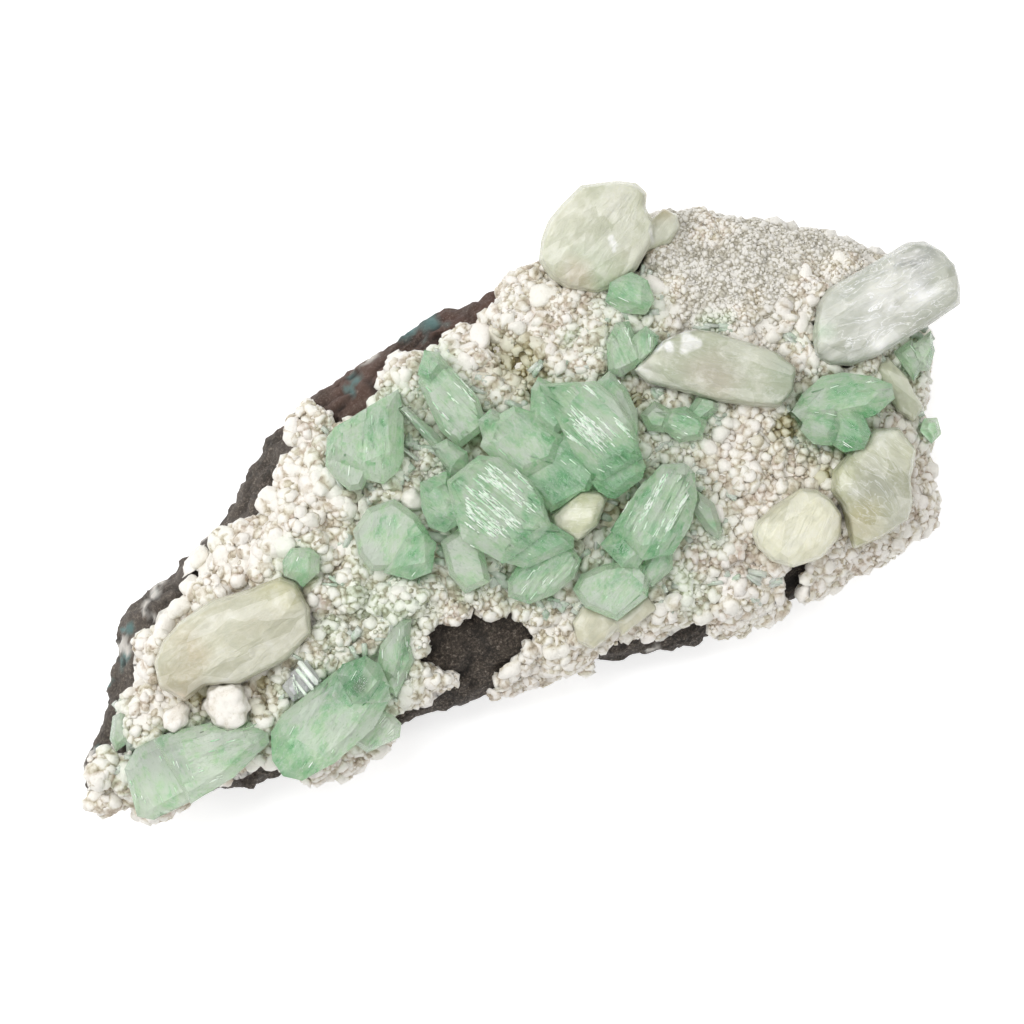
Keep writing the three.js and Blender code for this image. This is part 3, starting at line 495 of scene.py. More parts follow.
def joined(name, form, centres, frames, scales, seed, lumpy=0.0):
    """Many copies of one form as one mesh, each with its own place, turn, size and lumps."""
    places, corners = form
    count = len(centres)
    bumps = 1 + lumpy * np.random.default_rng(seed).normal(size=(count, len(places)))
    local = places[None] * scales[:, None] * bumps[..., None]
    world = np.einsum("bpa,bax->bpx", local, frames) + centres[:, None]
    mesh = bpy.data.meshes.new(name)
    every = (corners[None] + len(places) * np.arange(count)[:, None, None]).reshape(-1, 3)
    mesh.vertices.add(count * len(places))
    mesh.loops.add(len(every) * 3)
    mesh.polygons.add(len(every))
    mesh.vertices.foreach_set("co", world.astype(np.float32).ravel())
    mesh.loops.foreach_set("vertex_index", every.astype(np.int32).ravel())
    mesh.polygons.foreach_set("loop_start", np.arange(0, len(every) * 3, 3, dtype=np.int32))
    mesh.update(calc_edges=True)
    mesh.validate()
    piece = bpy.data.objects.new(name, mesh)
    bpy.context.scene.collection.objects.link(piece)
    return piece, world


def frames_from(ups, seed):
    """Axes for each copy: its own up direction and a side turned at random."""
    side = unit(np.cross(ups, np.random.default_rng(seed).normal(size=ups.shape)))
    return np.stack([side, np.cross(ups, side), ups], axis=1)


def swollen(piece, world, centres, share, seed):
    """Makes smooth balls lumpy, each point moved from its ball's middle by a share of its distance."""
    places = world.reshape(-1, 3)
    swell = smooth_noise(places, 1.5 * MM, seed) + 0.6 * smooth_noise(places, 0.7 * MM, seed + 1)
    outward = world - centres[:, None]
    world = centres[:, None] + outward * (1 + share * swell.reshape(outward.shape[:2] + (1,)))
    put_points(piece, world.reshape(-1, 3))
    return world, swell


def on_crust(plan):
    """The places of the crust under points of the plan in mm, and its normals there."""
    found = []
    for x, y in plan:
        hit, normal, _, _ = crust_tree.ray_cast(Vector((x * MM, y * MM, SKY)), DOWN)
        if hit is None:
            hit, normal, _, _ = crust_tree.find_nearest(Vector((x * MM, y * MM, 24 * MM)))
        found.append((*hit, *normal))
    found = np.array(found)
    return found[:, :3], found[:, 3:]


def zone(places, ups, kind):
    """Share of a kind of ball over a place: the flanks, the slope's fine grains, the basin, fat or plain."""
    top = np.clip((ups[:, 2] - 0.1) / 0.15, 0, 1)
    if kind == "side":
        return 1 - top
    x, y = places[:, 0] / MM, places[:, 1] / MM
    edge = 4 * smooth_noise(places, 9 * MM, 31)
    fine = np.clip((x + edge - 44) / 5, 0, 1) * np.clip((y + edge - 3) / 5, 0, 1)
    basin = np.clip((22 + edge - np.hypot(x - 46, (y + 17) * 1.2)) / 5, 0, 1)
    fat = np.clip((-20 + edge - x) / 5, 0, 1) * np.clip((y + edge - 3 - 0.12 * x) / 4, 0, 1)
    fat = np.maximum(fat, np.clip((-60 + edge - x) / 4, 0, 1))
    plain = 1 - np.maximum(fine, np.maximum(basin, fat))
    return top * {"fine": fine, "basin": basin, "fat": fat, "plain": plain}[kind]


# Each row: kind of zone, spacing, least and greatest radius in mm, how fine the form is, how far the ball is
# sunk as a part of its radius, share of the places that carry one, and how lumpy it is.
BALLS = {
    "fat_balls": ("fat", 2.6, (1.2, 2.3), 3, (0.1, 0.6), 0.97, 0.2),
    "left_balls": ("fat", 1.8, (0.7, 1.4), 2, (-0.4, 0.3), 0.65, 0.13),
    "basin_balls": ("basin", 1.7, (0.8, 1.5), 2, (-0.35, 0.25), 0.97, 0.13),
    "plain_balls": ("plain", 1.8, (0.8, 1.8), 2, (0.1, 0.6), 0.97, 0.16),
    "fine_balls": ("fine", 0.98, (0.42, 0.85), 1, (0.0, 0.5), 0.97, 0.08),
    "side_balls": ("side", 2.4, (1.1, 2.0), 1, (0.1, 0.6), 0.97, 0.1),
    "grains_left": ("fat", 1.3, (0.35, 0.8), 1, (-0.2, 0.4), 0.4, 0.1),
    "grains_basin": ("basin", 1.0, (0.3, 0.65), 1, (-0.4, 0.3), 0.6, 0.1),
    "grains_middle": ("plain", 1.1, (0.3, 0.7), 1, (-0.4, 0.3), 0.65, 0.1),
    "grains_slope": ("fine", 0.7, (0.22, 0.42), 1, (-0.4, 0.2), 0.6, 0.08),
}
ZONE_PALENESS = {"fat": 0.16, "basin": -0.17}  # how much paler or darker a zone's balls are painted
ZONE_PALENESS_ELSEWHERE = 0.07
FINEST = 3
seats = {}
for count, (name, (kind, spacing, radius, _, sink, share, _)) in enumerate(BALLS.items()):
    random = np.random.default_rng(41 + count)
    chosen = thinned(beds, spacing * MM, 41 + count)
    chosen = chosen[random.random(len(chosen)) < share * zone(beds[chosen], bed_normals[chosen], kind)]
    radii = random.uniform(*radius, len(chosen)) * MM
    centres = beds[chosen] - bed_normals[chosen] * (radii * random.uniform(*sink, len(chosen)))[:, None]
    fronts = centres + bed_normals[chosen] * (radii + 0.5 * MM)[:, None]
    seen = np.array([not hidden(*ends) for ends in zip(centres, fronts)])
    seats[name] = (chosen[seen], centres[seen], radii[seen])
all_centres = np.concatenate([centres for _, centres, _ in seats.values()])
all_radii = np.concatenate([radii for _, _, radii in seats.values()])
finder = kdtree.KDTree(len(all_centres))
for i, centre in enumerate(all_centres):
    finder.insert(centre, i)
finder.balance()
balls = []
for count, (name, (chosen, centres, radii)) in enumerate(seats.items()):
    seed = 71 + count
    random = np.random.default_rng(seed)
    kind, _, _, fineness, _, _, lumpy = BALLS[name]
    ball = ball_form(fineness, -0.15)
    scales = radii[:, None] * random.uniform((0.75, 0.75, 0.65), (1.3, 1.3, 1.05), (len(radii), 3))
    frames = frames_from(bed_normals[chosen], seed)
    piece, world = joined("heulandite_" + name, ball, centres, frames, scales, seed,
                          0.02 if fineness == FINEST else lumpy)
    if fineness == FINEST:
        world, _ = swollen(piece, world, centres, lumpy, seed)
    # Painted shade and light: each ball is darker where it meets its neighbours, towards its base and in the
    # valleys between the lobes, and lighter on its top; the clean value and the zone make it paler or darker.
    near = np.array([[number for _, number, _ in finder.find_n(centre, 9)][1:] for centre in centres])
    gaps = np.linalg.norm(world[:, :, None] - all_centres[near][:, None], axis=3) / all_radii[near][:, None]
    free = np.clip((gaps.min(axis=2) - 0.86) / 0.5, 0, 1)
    height = 0.62 + 0.38 * ball[0][None, :, 2]
    clean = (0.62 + 0.38 * bed_lobes[chosen]) * random.uniform(0.82, 1.06, len(radii))
    clean += ZONE_PALENESS.get(kind, ZONE_PALENESS_ELSEWHERE)
    attribute(piece, "crest", (free * height * clean[:, None]).ravel())
    attribute(piece, "tone", np.repeat(random.uniform(-1, 1, len(radii)), len(ball[0])))
    for tint, values in zip(TINTS, tints(centres)):
        attribute(piece, tint, np.repeat(values, len(ball[0])))
    if kind == "fat":
        shade_smooth(piece)
    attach(piece, "root")
    balls.append(piece)

# Fat smooth lobes and single white balls that stand out of the crust: x, y in mm, how high the middle is
# over the crust, the three radii in mm, and the direction of the longest in degrees.
LOBES = [
    (-55.7, 21.0, 0.4, 2.6, 1.9, 1.9, 60), (-45.8, 15, 0.5, 3.6, 2.0, 2.0, 75),
    (-68.2, 12.7, 0.2, 3.4, 2.0, 1.8, 40), (-63.6, 14.4, 0.4, 2.6, 2.0, 1.9, 10),
    (-37.4, 16.6, 0.5, 3.2, 2.0, 2.0, 50), (-37.8, 20.4, 0.3, 2.2, 1.9, 1.8, 0),
    (-31.4, 16.8, 0.3, 2.4, 1.9, 1.8, 20), (-72.5, 8.4, 0.2, 2.6, 1.8, 1.6, 60),
    (-60.4, 17.8, 0.3, 2.4, 2.0, 1.8, 90), (-51.2, 19.4, 0.3, 2.3, 1.8, 1.7, 0),
    (-75.4, -9.8, 0.3, 2.4, 1.7, 1.7, 80), (-80.6, 1.2, 0.2, 2.6, 2.0, 1.8, 50),
    (-63.8, -20.6, 0.4, 2.4, 2.2, 2.2, 0), (-66.6, -19.0, 0.1, 1.7, 1.6, 1.6, 0),
    (60, -26.5, 2.4, 2.6, 2.5, 2.4, 0), (-13.8, 10.2, 1.6, 2.6, 2.3, 2.2, 90),
    (22.4, 33.6, 0.5, 3.6, 2.4, 1.6, 40), (27.6, 31.6, 0.6, 3.8, 2.6, 1.7, -20),
    (13.2, 31.0, 0.5, 3.0, 2.2, 1.6, 60), (8.2, 27.6, 0.4, 2.4, 1.8, 1.5, 90),
    (-4, 31.5, 0.3, 2.2, 1.6, 1.4, 0), (73, 9.2, 1.5, 2.8, 1.5, 1.3, 60),
    (71.2, 5.2, 1.3, 3.0, 1.4, 1.2, 50), (68, 2.2, 1.2, 2.6, 1.5, 1.2, 40),
    (81.2, 8.8, 1.3, 2.4, 1.9, 1.4, 70), (79, 6.2, 1.2, 2.2, 1.5, 1.2, 45),
    (55.1, 33.4, 1.0, 2.0, 1.7, 1.4, 90), (54.6, 29.8, 1.0, 2.6, 1.5, 1.3, 100),
    (47.2, 22.4, 0.9, 2.6, 1.5, 1.3, 110), (44.4, 19, 0.9, 2.2, 1.5, 1.2, 130),
    (44, -17.5, 0.6, 2.6, 1.6, 1.5, 30), (40.6, -9.6, 0.5, 2.2, 1.6, 1.5, 110),
    (31.4, -9.2, 0.4, 1.9, 1.4, 1.4, 0), (36.2, -21.6, 0.5, 2.2, 1.5, 1.4, 60),
    (-14.8, -23.2, 0.3, 2.6, 1.9, 1.6, 20), (-20.8, -20.8, 0.2, 2.2, 1.7, 1.5, 60),
    (-10.2, -26.0, 0.2, 2.2, 1.8, 1.5, -30), (5.4, 17.6, 0.3, 2.0, 1.5, 1.4, 80),
]
random = np.random.default_rng(91)
ball = ball_form(FINEST, -0.3)
table = np.array(LOBES)
lobe_at, lobe_up = on_crust(table[:, :2])
lobe_at += lobe_up * (table[:, 2:3] - 0.4) * MM
turn = np.radians(table[:, 6])
lobe_across = unit(np.cross(lobe_up, np.stack([np.cos(turn), np.sin(turn), 0 * turn], axis=1)))
lobe_frames = np.stack([np.cross(lobe_across, lobe_up), lobe_across, lobe_up], axis=1)
lobes, world = joined("heulandite_lobes", ball, lobe_at, lobe_frames, table[:, 3:6] * MM, 91)
world, swell = swollen(lobes, world, lobe_at, 0.2, 92)
shade_smooth(lobes)
# Painted light and shade: each lobe is whiter on top and on its swellings, darker towards its base.
attribute(lobes, "crest", np.tile(np.clip(0.45 + 0.7 * ball[0][:, 2], 0.1, 0.95), len(LOBES)) + 0.2 * swell)
attribute(lobes, "tone", np.repeat(random.uniform(-1, 0.6, len(LOBES)), len(ball[0])))
for tint in TINTS:
    attribute(lobes, tint, np.zeros(len(swell)))
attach(lobes, "root")
balls.append(lobes)

# Heulandite, grown as sugary balls: matt and milky, painted white on top as light falls there, pinkish in
# places, greener beside the prisms, with painted shade in thin lines of brown and olive where the balls meet.
sugar, sugar_out = new_material("heulandite, sugary balls")
place = add_node(sugar, "ShaderNodeTexCoord").outputs["Object"]
crest = add_node(sugar, "ShaderNodeAttribute", {"attribute_name": "crest"})
tone = add_node(sugar, "ShaderNodeAttribute", {"attribute_name": "tone"})
drift = add_node(sugar, "ShaderNodeTexNoise", {"Scale": 1 / (12 * MM), "Detail": 3}, {"Vector": place})
speck = add_node(sugar, "ShaderNodeTexNoise", {"Scale": 1 / (0.7 * MM), "Detail": 5, "Roughness": 0.75},
                 {"Vector": place})
# Painted light and shade: the crest value and the specks run each colour below from brown or olive in the
# shade to white in the light.
lit = add_node(sugar, "ShaderNodeMath", {"operation": "MULTIPLY_ADD", 1: 0.8},
               {0: speck.outputs["Fac"], 2: crest.outputs["Fac"]})
white, pink, ashen, mossy, olive = (
    add_node(sugar, "ShaderNodeValToRGB", {"ramp": ramp}, {"Fac": lit.outputs["Value"]}).outputs["Color"]
    for ramp in (
        [(0.25, "82755a"), (0.48, "c2b9a1"), (0.72, "dfdac9"), (1, "f3f0e7")],
        [(0.25, "8a7264"), (0.48, "c9b6ab"), (0.72, "e2d7cf"), (1, "f4eee9")],
        [(0.3, "948d7c"), (0.5, "bab5a6"), (0.72, "d3cfc4"), (1, "e8e5de")],
        [(0.3, "6c7254"), (0.5, "a3ae90"), (0.72, "cad6bd"), (1, "e9efe0")],
        [(0.3, "3d3216"), (0.5, "7c7048"), (0.75, "b3ab86"), (1, "d6d3ba")],
    )
)
warmth = add_node(sugar, "ShaderNodeMath", {"operation": "MULTIPLY_ADD", 1: 0.3, 2: -0.2},
                  {0: tone.outputs["Fac"]})
blend = add_node(sugar, "ShaderNodeMath", {"operation": "ADD", "use_clamp": True},
                 {0: warmth.outputs["Value"], 1: drift.outputs["Fac"]})
colour = add_node(sugar, "ShaderNodeMix", {"data_type": "RGBA"},
                  {0: blend.outputs["Value"], 6: white, 7: pink})
for kind, shade in (("grey", ashen), ("green", mossy), ("olive", olive)):
    share = add_node(sugar, "ShaderNodeAttribute", {"attribute_name": kind})
    colour = add_node(sugar, "ShaderNodeMix", {"data_type": "RGBA", "clamp_factor": True},
                      {0: share.outputs["Fac"], 6: colour.outputs[2], 7: shade})
# Painted shade: the hollows of the bump below are coloured darker.
hollow = add_node(sugar, "ShaderNodeValToRGB", {"ramp": [(0.3, "ffffff"), (0.48, "000000")]},
                  {"Fac": speck.outputs["Fac"]})
hollow_shade = add_node(sugar, "ShaderNodeMath", {"operation": "MULTIPLY", 1: 0.2}, {0: hollow.outputs["Color"]})
colour = add_node(sugar, "ShaderNodeMix", {"data_type": "RGBA", 7: linear("a89c86")},
                  {0: hollow_shade.outputs["Value"], 6: colour.outputs[2]})
facets = add_node(sugar, "ShaderNodeBump", {"Strength": 0.9, "Distance": 0.32 * MM},
                  {"Height": speck.outputs["Fac"]})
sugar_shader = add_node(sugar, "ShaderNodeBsdfPrincipled", {"Roughness": 0.45, "IOR": 1.5},
                        {"Base Color": colour.outputs[2], "Normal": facets.outputs["Normal"]})
sugar.node_tree.links.new(sugar_shader.outputs["BSDF"], sugar_out.inputs["Surface"])
for piece in [crust, *balls]:
    piece.data.materials.append(sugar)

# ---------------------------------------------------------------- apophyllite crystals
# Glassy green prisms with flat faces, grown together in groups. Each solid gets worn edges, and the
# striated faces get real grooves that run along the prism. A row is one crystal of the group:
# x, y of its middle in mm, the direction of its grooves in degrees, their depth from 0 to 1, how deep
# its green is, and how milky it is.
APOPHYLLITES = {
    "center": [
        (0, 1, -70, 1.0, 0.33, 0.5), (2, -9.8, -60, 0.25, 0.7, 0.2), (-9.6, 7, -62, 0.4, 0.55, 0.3),
        (-11.3, -5.5, -60, 0.3, 0.2, 0.6), (9.8, 9.6, -75, 0.3, 0.25, 0.6), (14, 0, -70, 0.15, 0.75, 0.2),
        (24.2, 6, -72, 1.0, 0.3, 0.5), (23.4, -6.8, -60, 0.3, 0.75, 0.1), (30.4, 7, -80, 0.3, 0.3, 0.4),
        (17.8, 12.8, -60, 0.3, 0.7, 0.2), (2.3, 21.5, -76, 0.7, 0.35, 0.5), (2.2, 30.8, -80, 0.3, 0.6, 0.3),
        (-4.9, 21, -72, 0.4, 0.3, 0.5), (-3, 13.2, -68, 0.3, 0.45, 0.4), (6.6, 14.8, -68, 0.3, 0.35, 0.45),
        (0.8, -15.2, 20, 0.6, 0.35, 0.4),
    ],
    "fan": [
        (27, -14.6, 31, 0.9, 0.35, 0.4), (16.8, -18.6, 31, 0.2, 0.7, 0.1), (11.4, -23.8, 20, 0.4, 0.3, 0.5),
        (20.6, -24.6, 30, 0.3, 0.5, 0.4), (34, -20.6, -68, 0.4, 0.3, 0.4),
    ],
    "plate": [(-14, 23.6, 55, 0.35, 0.45, 0.5), (-21.6, 21.6, 55, 0.3, 0.35, 0.6)],
    "mid_left": [(-21.8, 7, 40, 0.25, 0.2, 0.7), (-18, 0, 20, 0.25, 0.7, 0.2)],
    "bud": [(-38.4, 10, 40, 0.15, 0.4, 0.35)],
    "corner": [(-85.6, 0, 60, 0.2, 0.3, 0.4)],
    "front_left": [(-83, -12, 85, 0.25, 0.25, 0.7), (-70, -12.6, -12, 0.4, 0.25, 0.7)],
    "front": [
        (-50, -18.6, 28, 0.3, 0.2, 0.75), (-39, -15, 30, 0.25, 0.9, 0.1), (-31, -13, 55, 0.4, 0.3, 0.4),
        (-31.5, -16.6, 50, 0.4, 0.2, 0.5), (-41.6, -25.6, 20, 0.3, 0.15, 0.6), (-59, -22, 28, 0.2, 0.65, 0.2),
    ],
    "clear": [(-48.5, -9.6, 75, 1.0, 0.3, 0), (-52, -9.8, 75, 0.9, 0.3, 0)],
    "twin": [(35, 14.4, 84, 0.9, 0.15, 0.3), (40, 13.8, 60, 0.6, 0.5, 0.3)],
    "top": [(42, 23, -60, 0.3, 0.45, 0.4)],
    "ledge": [
        (38.4, -3.4, -50, 0.5, 0.45, 0.3), (34.8, 0.4, -50, 0.4, 0.35, 0.4), (43.4, -2.4, -40, 0.4, 0.5, 0.3),
    ],
    "right": [
        (67, -13.6, -12, 0.3, 0.35, 0.35), (65.4, -20, -60, 0.3, 0.7, 0.2), (60.8, -17, -40, 0.4, 0.3, 0.45),
    ],
    "edge": [(83.8, -14.6, -78, 0.5, 0.2, 0.3), (86.8, -14.6, -70, 0.5, 0.35, 0.3)],
    "edge_bud": [(80.6, -28.4, -60, 0.2, 0.5, 0.3)],
}
INCLUSIONS = [(-40.1, -16.0, 1.2), (-38.9, -15.5, 0.8)]  # dark spots: x, y and reach in mm
GROOVE = 0.12 * MM
BREAK = 0.7 * MM
STRIATED = 0.5  # depth past which a crystal's flutes are the fine ones


def clean_facets(piece):
    """Joins the triangles of each flat face, then wears the edges of the crystal a little."""
    edited(piece, (bpy.ops.mesh.dissolve_limited, {"angle_limit": math.radians(1.5)}))
    apply(piece, "BEVEL", width=0.14 * MM, segments=1, limit_method="ANGLE", angle_limit=math.radians(25),
          use_clamp_overlap=True, loop_slide=False)


def groove(piece, rows, seed):
    """Cuts the upper faces of each crystal into fine flutes that run and break along the prism, and breaks
    its edges."""
    random = np.random.default_rng(seed)
    mesh = bmesh.new()
    mesh.from_mesh(piece.data)
    owner = mesh.faces.layers.int.new("owner")
    middles = [Vector((x * MM, y * MM, 0)) for x, y, *_ in rows]
    for face in mesh.faces:
        centre = face.calc_center_median()
        centre.z = 0
        nearest = min(range(len(rows)), key=lambda i: (middles[i] - centre).length)
        face[owner] = nearest + 1 if face.normal.z > 0.3 else -nearest - 1
    moved = {}
    for number, (x, y, angle, depth, _, _) in enumerate(rows):
        along = Vector((math.cos(math.radians(angle)), math.sin(math.radians(angle)), 0))
        across = Vector((-along.y, along.x, 0))
        middle = middles[number]
        part = [face for face in mesh.faces if face[owner] == number + 1]
        if not part:
            continue
        lines = []
        pitches = (0.42, 1.5) if depth > STRIATED else (0.75, 2.2)
        for normal, pitch in zip((across, along), pitches):
            sides = [(v.co - middle).dot(normal) for face in part for v in face.verts]
            offset = min(sides)
            while offset < max(sides):
                lines.append((normal, offset))
                offset += pitch * MM * random.uniform(0.5, 1.6)
        for normal, offset in lines:
            plane = middle + normal * offset
            crossed = []
            for face in mesh.faces:
                if face[owner] == number + 1:
                    sides = [(v.co - plane).dot(normal) for v in face.verts]
                    if min(sides) < 0 < max(sides):
                        crossed.append(face)
            edges = list({e for f in crossed for e in f.edges})
            points = list({v for f in crossed for v in f.verts})
            bmesh.ops.bisect_plane(
                mesh, geom=crossed + edges + points, plane_co=plane, plane_no=normal, dist=1e-7)
        for face in mesh.faces:
            if face[owner] == number + 1:
                for vert in face.verts:
                    moved.setdefault(vert, (number, along, across))
    mesh.normal_update()
    touched = list(moved)
    places = np.array([v.co[:] for v in touched])
    outward = np.array([v.normal[:] for v in touched])
    turned = np.array([
        ((v.co - middles[n]).dot(along), (v.co - middles[n]).dot(across), 0.01 * n)
        for v, (n, along, across) in moved.items()])
    depths = np.array(rows)[[n for n, _, _ in moved.values()], 3]
    sharp = np.array([max((e.calc_face_angle(0) for e in v.link_edges), default=0) > 0.35 for v in touched])
    ridges = 1 - 2 * np.abs(smooth_noise(turned, np.array([8, 0.9, 5]) * MM, seed))
    flutes = smooth_noise(turned, np.array([2.4, 0.5, 5]) * MM, seed + 1)
    waves = smooth_noise(places, 4 * MM, seed + 2)
    rise = GROOVE * ((0.25 + depths) * (ridges + flutes) + 0.5 * waves)
    broken = depths * np.clip(smooth_noise(places, 1.6 * MM, seed + 3) + 0.4, 0, 1)
    broken = broken * random.uniform(0.2, 1, len(places))
    shift = outward * (-BREAK * broken * sharp)[:, None]
    shift[:, 2] += rise
    for vert, move in zip(touched, shift):
        vert.co += Vector(move)
    bmesh.ops.triangulate(mesh, faces=[face for face in mesh.faces if len(face.verts) > 4])
    mesh.to_mesh(piece.data)
    mesh.free()


def stain(piece, rows, seed):
    """Stores where along and across its own crystal each face's corners lie, and for each point how green and
    milky it is, how steep the face is, which its material paints as a paler, lit rim, and where a dark
    inclusion lies under it."""
    places, normals = points_of(piece)
    flat = places[:, :2] / MM
    table = np.array(rows)
    mesh = piece.data
    middles = np.array([face.center[:2] for face in mesh.polygons]) / MM
    owner = np.argmin([np.hypot(*(middles - (x, y)).T) for x, y, *_ in rows], axis=0)
    owner = np.repeat(owner, [face.loop_total for face in mesh.polygons])
    corner = np.array([loop.vertex_index for loop in mesh.loops])
    angle = np.radians(table[owner, 2])
    offset = flat[corner] - table[owner, :2]
    along = offset[:, 0] * np.cos(angle) + offset[:, 1] * np.sin(angle)
    across = -offset[:, 0] * np.sin(angle) + offset[:, 1] * np.cos(angle)
    attribute(piece, "run", np.stack([along, across, places[corner, 2] / MM + 17 * owner], axis=1), "CORNER")
    weights = np.stack([np.exp(-((np.hypot(*(flat - (x, y)).T) / 5.5) ** 2)) + 1e-9 for x, y, *_ in rows])
    weights /= weights.sum(axis=0)
    for name, column, amount, size in (("green", 4, 0.12, 5), ("milk", 5, 0.2, 6)):
        blended = (weights * table[:, column][:, None]).sum(axis=0)
        attribute(piece, name, blended + amount * smooth_noise(places, size * MM, seed + column - 4))
    steep = np.clip((0.75 - normals[:, 2]) / 0.5, 0, 1)
    attribute(piece, "side", steep * (0.6 + 0.6 * smooth_noise(places, 2 * MM, seed + 2)))
    attribute(piece, "dark", blots(places, INCLUSIONS, 0.6))


apophyllites = []
for count, (name, rows) in enumerate(APOPHYLLITES.items()):
    crystal = free_copy("apophyllite_" + name, "apophyllite_crystals_" + name)
    clean_facets(crystal)
    groove(crystal, rows, 60 + 5 * count)
    stain(crystal, rows, 200 + 5 * count)
    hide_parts("apophyllite_" + name)
    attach(crystal, "root")
    apophyllites.append(crystal)


def glassy(name, greens, absorb, density, transmission):
    """Apophyllite: glass-clear to milky, with clouds, veils along the prism, curved cracks, painted glints,
    and steep faces painted paler as a lit rim.
    """
    glass, glass_out = new_material(name)
    run, green, milk, side, dark = (add_node(glass, "ShaderNodeAttribute", {"attribute_name": layer})
                                    for layer in ("run", "green", "milk", "side", "dark"))

    def texture(scale, detail, stretch, distortion=0.0):
        """A noise in the crystal's own run, its scale in cells to the millimetre."""
        spread = add_node(glass, "ShaderNodeVectorMath", {"operation": "MULTIPLY", 1: stretch},
                          {0: run.outputs["Vector"]})
        return add_node(glass, "ShaderNodeTexNoise",
                        {"Scale": scale, "Detail": detail, "Roughness": 0.65, "Distortion": distortion},
                        {"Vector": spread.outputs["Vector"]}).outputs["Fac"]

    veil = texture(1.0, 6, (0.16, 1.5, 0.5), 0.4)
    pools = texture(0.24, 3, (0.8, 1.0, 1.0))
    cloud = texture(0.34, 9, (0.8, 1.2, 1.0), 0.6)
    bent = texture(0.3, 4, (1.0, 1.3, 1.0), 1.0)
    fine = texture(2.2, 5, (0.5, 1.3, 1.0))
    clouds, veils, pits, cracks, glints = (
        add_node(glass, "ShaderNodeValToRGB", {"ramp": ramp}, {"Fac": source}).outputs["Color"]
        for source, ramp in (
            (cloud, [(0.44, "000000"), (0.55, "ffffff")]),
            (veil, [(0.5, "000000"), (0.68, "ffffff")]),
            (fine, [(0.3, "ffffff"), (0.44, "000000")]),
            (bent, [(0.485, "000000"), (0.5, "ffffff"), (0.515, "000000")]),
            (fine, [(0.58, "000000"), (0.68, "ffffff")]),
        )
    )
    deep = add_node(glass, "ShaderNodeMath", {"operation": "MULTIPLY_ADD", 1: 2.4},
                    {0: pools, 2: green.outputs["Fac"]})
    deep = add_node(glass, "ShaderNodeMath", {"operation": "SUBTRACT", 1: 1.22, "use_clamp": True},
                    {0: deep.outputs["Value"]})
    milky = add_node(glass, "ShaderNodeMath", {"operation": "MULTIPLY"}, {0: milk.outputs["Fac"], 1: clouds})
    milky = add_node(glass, "ShaderNodeMath", {"operation": "MULTIPLY_ADD", 1: 0.35, "use_clamp": True},
                     {0: veils, 2: milky.outputs["Value"]})
    colour = add_node(glass, "ShaderNodeValToRGB", {"ramp": greens},
                      {"Fac": deep.outputs["Value"]}).outputs["Color"]
    # Painted light: steep faces, by the side value, are made paler like a lit rim.
    for mask, share, tint in (
        (milky.outputs["Value"], 1.0, "f3fbef"), (side.outputs["Fac"], 0.4, "eef8ea"),
        (dark.outputs["Fac"], 0.75, "4d6238"), (pits, 0.4, "62a674"), (cracks, 0.6, "fbfffa"),
        (glints, 0.7, "ffffff"),
    ):
        part = add_node(glass, "ShaderNodeMath", {"operation": "MULTIPLY", 1: share, "use_clamp": True},
                        {0: mask})
        colour = add_node(glass, "ShaderNodeMix", {"data_type": "RGBA", 7: linear(tint)},
                          {0: part.outputs["Value"], 6: colour}).outputs[2]
    grooves = add_node(glass, "ShaderNodeBump", {"Strength": 0.6, "Distance": 0.16 * MM}, {"Height": veil})
    broken = add_node(glass, "ShaderNodeBump", {"Strength": 0.8, "Distance": 0.6 * MM},
                      {"Height": cloud, "Normal": grooves.outputs["Normal"]})
    shader = add_node(glass, "ShaderNodeBsdfPrincipled", {
        "Roughness": 0.06, "IOR": 1.535, "Transmission Weight": transmission, "Specular IOR Level": 0.8,
    }, {"Base Color": colour, "Normal": broken.outputs["Normal"]})
    glass.node_tree.links.new(shader.outputs["BSDF"], glass_out.inputs["Surface"])
    volume = add_node(glass, "ShaderNodeVolumeAbsorption", {"Color": linear(absorb), "Density": density})
    glass.node_tree.links.new(volume.outputs["Volume"], glass_out.inputs["Volume"])
    return glass


# Apophyllite, grown: a mint green glass with white veils, pearly where it is milky.
mint = glassy("apophyllite, mint green", [(0, "f4fdee"), (0.3, "d8f7ce"), (0.65, "a0dfa6"), (1, "68be7c")],
              "a8e4ac", 11, 0.64)
# Apophyllite without colour: bright clear plates.
clear = glassy("apophyllite, water clear", [(0, "ffffff"), (0.4, "eceaf0"), (0.8, "8f8c96")],
               "f4f4f8", 1, 0.5)
# Apophyllite split along its cleavage: pearly, painted nearly white as a highlight, with the glass's own
# gloss.
pearly = glassy("apophyllite, pearly cleavage", [(0, "f6fdf4"), (0.5, "d6eed4"), (1, "acdbb0")],
                "e4f4e4", 2, 0.0)
# Apophyllite in small crystals, frosted by their many faces.
frosted = glassy("apophyllite, small and frosted",
                 [(0, "f2f7ee"), (0.4, "dcefd8"), (0.8, "bce0bd"), (1, "98d2a0")], "c8e8cc", 8, 0.4)
for crystal in apophyllites:
    crystal.data.materials.append(clear if crystal.name.endswith("clear") else mint)

# ---------------------------------------------------------------- apophyllite, parallel growth and splinters
# Thin blades of the same glass: ribs and steps that lie along the prisms' faces, splinters that lean out
# around their feet, and white cleavage flakes that flash, their white a painted highlight.
EVERY_ROW = [(name, *row) for name, rows in APOPHYLLITES.items() for row in rows]
ROW_TABLE = np.array([row[1:] for row in EVERY_ROW])


